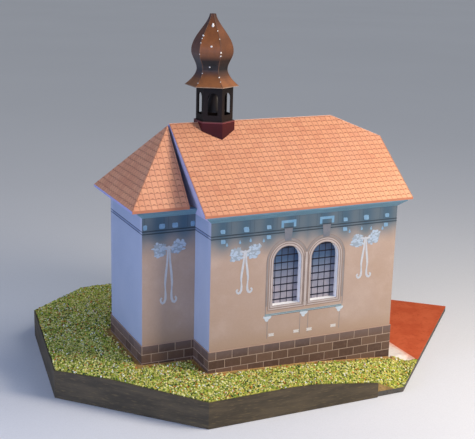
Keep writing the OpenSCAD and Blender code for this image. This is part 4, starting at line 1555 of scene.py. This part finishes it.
@dataclass
class Land:
    """Board, turf, earth and paving. Sizes in mm."""

    grain: float = 0.56
    per_mm2: float = 0.75
    bare: float = 3.6

    def turf_top(self) -> bpy.types.Mesh:
        """The turf's upper faces as one merged mesh."""
        shape = bmesh.new()
        shape.from_mesh(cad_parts["turf"].data)
        bmesh.ops.remove_doubles(shape, verts=shape.verts, dist=1e-6)
        shape.normal_update()
        level = span("turf")[0].z * MM
        below = [f for f in shape.faces if f.normal.z < 0.2 or f.calc_center_median().z < level]
        bmesh.ops.delete(shape, geom=below, context="FACES")
        return into_mesh(shape, "turf_top")

    def build(self) -> None:
        """Dresses the ground and strews the grains."""
        dress(Ground("board_paint", ink("55534f"), ink("605a53"), ink("45423e"), 6, 0.1), "base_board")
        dress(Ground("step_card", ink("a39d95"), ink("b5aea4"), ink("8d867e"), 3, 0.1), "door_step")
        dress(Ground("bare_earth", ink("8f7448"), ink("a98b58"), ink("6b5230"), 5, 0.6), "landform")
        dress(Ground("wall_earth", ink("b88c52"), ink("cfa96a"), ink("8f6a3a"), 3, 0.4), "earth_strip")
        paper = Ground("red_paper", ink("c4552f"), ink("d0623a"), ink("b94e2c"), 9, 0.05, 0.75)
        dress(paper, "paving_sheet")
        dress(RampPlaster("ramp_plaster", span("plaster_ramp")[1].x), "plaster_ramp")
        strip = Ground("painted_strip", ink("5c5140"), ink("4a4236"), ink("716246"), 7, 0.08, 0.7,
                       (0.35, 0.35, 2.5))
        dress(strip, "edge_strip_near", "edge_strip_near_left", "edge_strip_left", "edge_strip_back_left",
              "edge_strip_back")
        dress(Flock("turf_flock"), "turf")
        mesh = self.turf_top()
        shades = (("turf_straw", "cabf50", "fff6ae", 0.95), ("turf_green", "74903a", "c8d054", 0.9),
                  ("turf_dark", "284a38", "5a6a2e", 0.35), ("turf_rust", "8a5428", "e88a44", 0.16),
                  ("turf_pale", "e6e2c4", "ffffff", 0.1))
        for k, (name, first, second, share) in enumerate(shades):
            finish = Grain(name, ink(first), ink(second))
            maker = GrainMaker(f"{name}_maker", finish.material())
            grains = maker.run(mesh.copy(), {"Density": self.per_mm2 * share / MM ** 2,
                                             "Size": self.grain * MM, "Seed": 60 + 10 * k})
            self.thin_out(grains, 80 + k)
            add_piece(f"{name}_grains", grains, finish)

    def thin_out(self, grains: bmesh.types.BMesh, seed: int) -> None:
        """Clears the grains from the bare earth along the walls, raggedly."""
        chance = random.Random(seed)
        nave, end = span("nave_wall_near"), span("chancel_wall_end")
        per = 6
        grains.verts.ensure_lookup_table()
        gone = []
        for first in range(0, len(grains.verts), per):
            group = grains.verts[first:first + per]
            spot = group[0].co / MM
            off = max(abs(spot.x) - nave[1].x, abs(spot.y) + nave[0].y)
            choir = max(end[0].x - spot.x, abs(spot.y) - end[1].y - 3)
            if spot.x < nave[0].x:
                off = min(off, choir)
            if off < self.bare * chance.uniform(0.5, 1.4):
                gone += group
        bmesh.ops.delete(grains, geom=gone, context="VERTS")


@dataclass
class Studio:
    """Camera, lights and floor. Sizes in mm."""

    place: Vector = field(default_factory=lambda: Vector((-225.73, -440.95, 208.38)))
    azimuth: float = 25.288
    pitch: float = -15.204
    roll: float = -1.482
    lens: float = 75.98
    sun_power: float = 0.95
    sun_width: float = 35
    sun_way: Vector = field(default_factory=lambda: Vector((-0.62, 0.25, -0.74)))
    sky_power: float = 0.22
    floor_reach: float = 20000
    floor_drop: float = 0.2

    def camera(self) -> None:
        """Sets up the camera."""
        a, p, r = (math.radians(v) for v in (self.azimuth, self.pitch, self.roll))
        ahead = Vector((math.sin(a) * math.cos(p), math.cos(a) * math.cos(p), math.sin(p)))
        right = ahead.cross(Vector((0, 0, 1))).normalized()
        down = ahead.cross(right)
        across = right * math.cos(r) + down * math.sin(r)
        below = down * math.cos(r) - right * math.sin(r)
        turn = Matrix((across, -below, -ahead)).transposed()
        data = bpy.data.cameras.new("camera")
        data.lens = self.lens
        data.sensor_width = 36
        data.clip_start, data.clip_end = 0.01, 20
        camera = new_object("camera", data)
        camera.matrix_world = Matrix.Translation(self.place * MM) @ turn.to_4x4()
        bpy.context.scene.camera = camera

    def lamp(self, name: str, place: Flat, height: float, size: float, power: float, colour: Ink) -> None:
        """Adds one soft lamp that faces the chapel."""
        data = bpy.data.lights.new(name, "AREA")
        data.shape = "DISK"
        data.size = size * MM
        data.energy = power
        data.color = colour[:3]
        lamp = new_object(name, data)
        spot = Vector((*place, height)) * MM
        lamp.location = spot
        lamp.rotation_mode = "QUATERNION"
        lamp.rotation_quaternion = (Vector((0, 0, 0.06)) - spot).to_track_quat("-Z", "Y")

    def build(self) -> None:
        """Sets up camera, lamps, sky and floor."""
        self.camera()
        self.lamp("key", (230, -270), 245, 150, 1.3, ink("fff3e4"))
        self.lamp("side", (-520, -110), 130, 220, 1.2, ink("b4c8f8"))
        self.lamp("fill", (-250, -470), 210, 260, 0.5, ink("c8d6ff"))
        sun = bpy.data.lights.new("sky_light", "SUN")
        sun.energy = self.sun_power
        sun.angle = math.radians(self.sun_width)
        lamp = new_object("sky_light", sun)
        lamp.rotation_mode = "QUATERNION"
        lamp.rotation_quaternion = self.sun_way.to_track_quat("-Z", "Y")
        world = bpy.data.worlds.new("studio")
        world.use_nodes = True
        sky = world.node_tree.nodes["Background"]
        sky.inputs[0].default_value = ink("c3d2ea")
        sky.inputs[1].default_value = self.sky_power
        bpy.context.scene.world = world
        bpy.context.scene.view_settings.view_transform = "Standard"
        shape = bmesh.new()
        bmesh.ops.create_grid(shape, x_segments=8, y_segments=8, size=self.floor_reach * MM)
        mesh = into_mesh(shape, "floor")
        floor = new_object("floor", mesh)
        mesh.transform(Matrix.Translation((0, 0, -self.floor_drop * MM)))
        mesh.materials.append(Print("studio_floor", ink("e4e4e6"), ink("e8e8ea"), 400, 0.8).material())


def main() -> None:
    """Builds the looks of the whole model in order."""
    logging.basicConfig(level=logging.INFO, format="%(name)s: %(message)s")
    Studio().build()
    Walls().build()
    Plinth().build()
    Roofs().build()
    cornice = CornicePrint("cornice_print_painted_shade")
    dress(cornice, "nave_cornice_sides", "nave_cornice_front", "chancel_cornice_sides")
    dress(Print("ceiling_card", ink("cfc9d2"), ink("bdb7c2"), 3.0), "chancel_ceiling")
    dress(DoorPrint("door_print"), "entrance_door")
    Turret().build()
    Land().build()


if __name__ == "__main__":
    main()
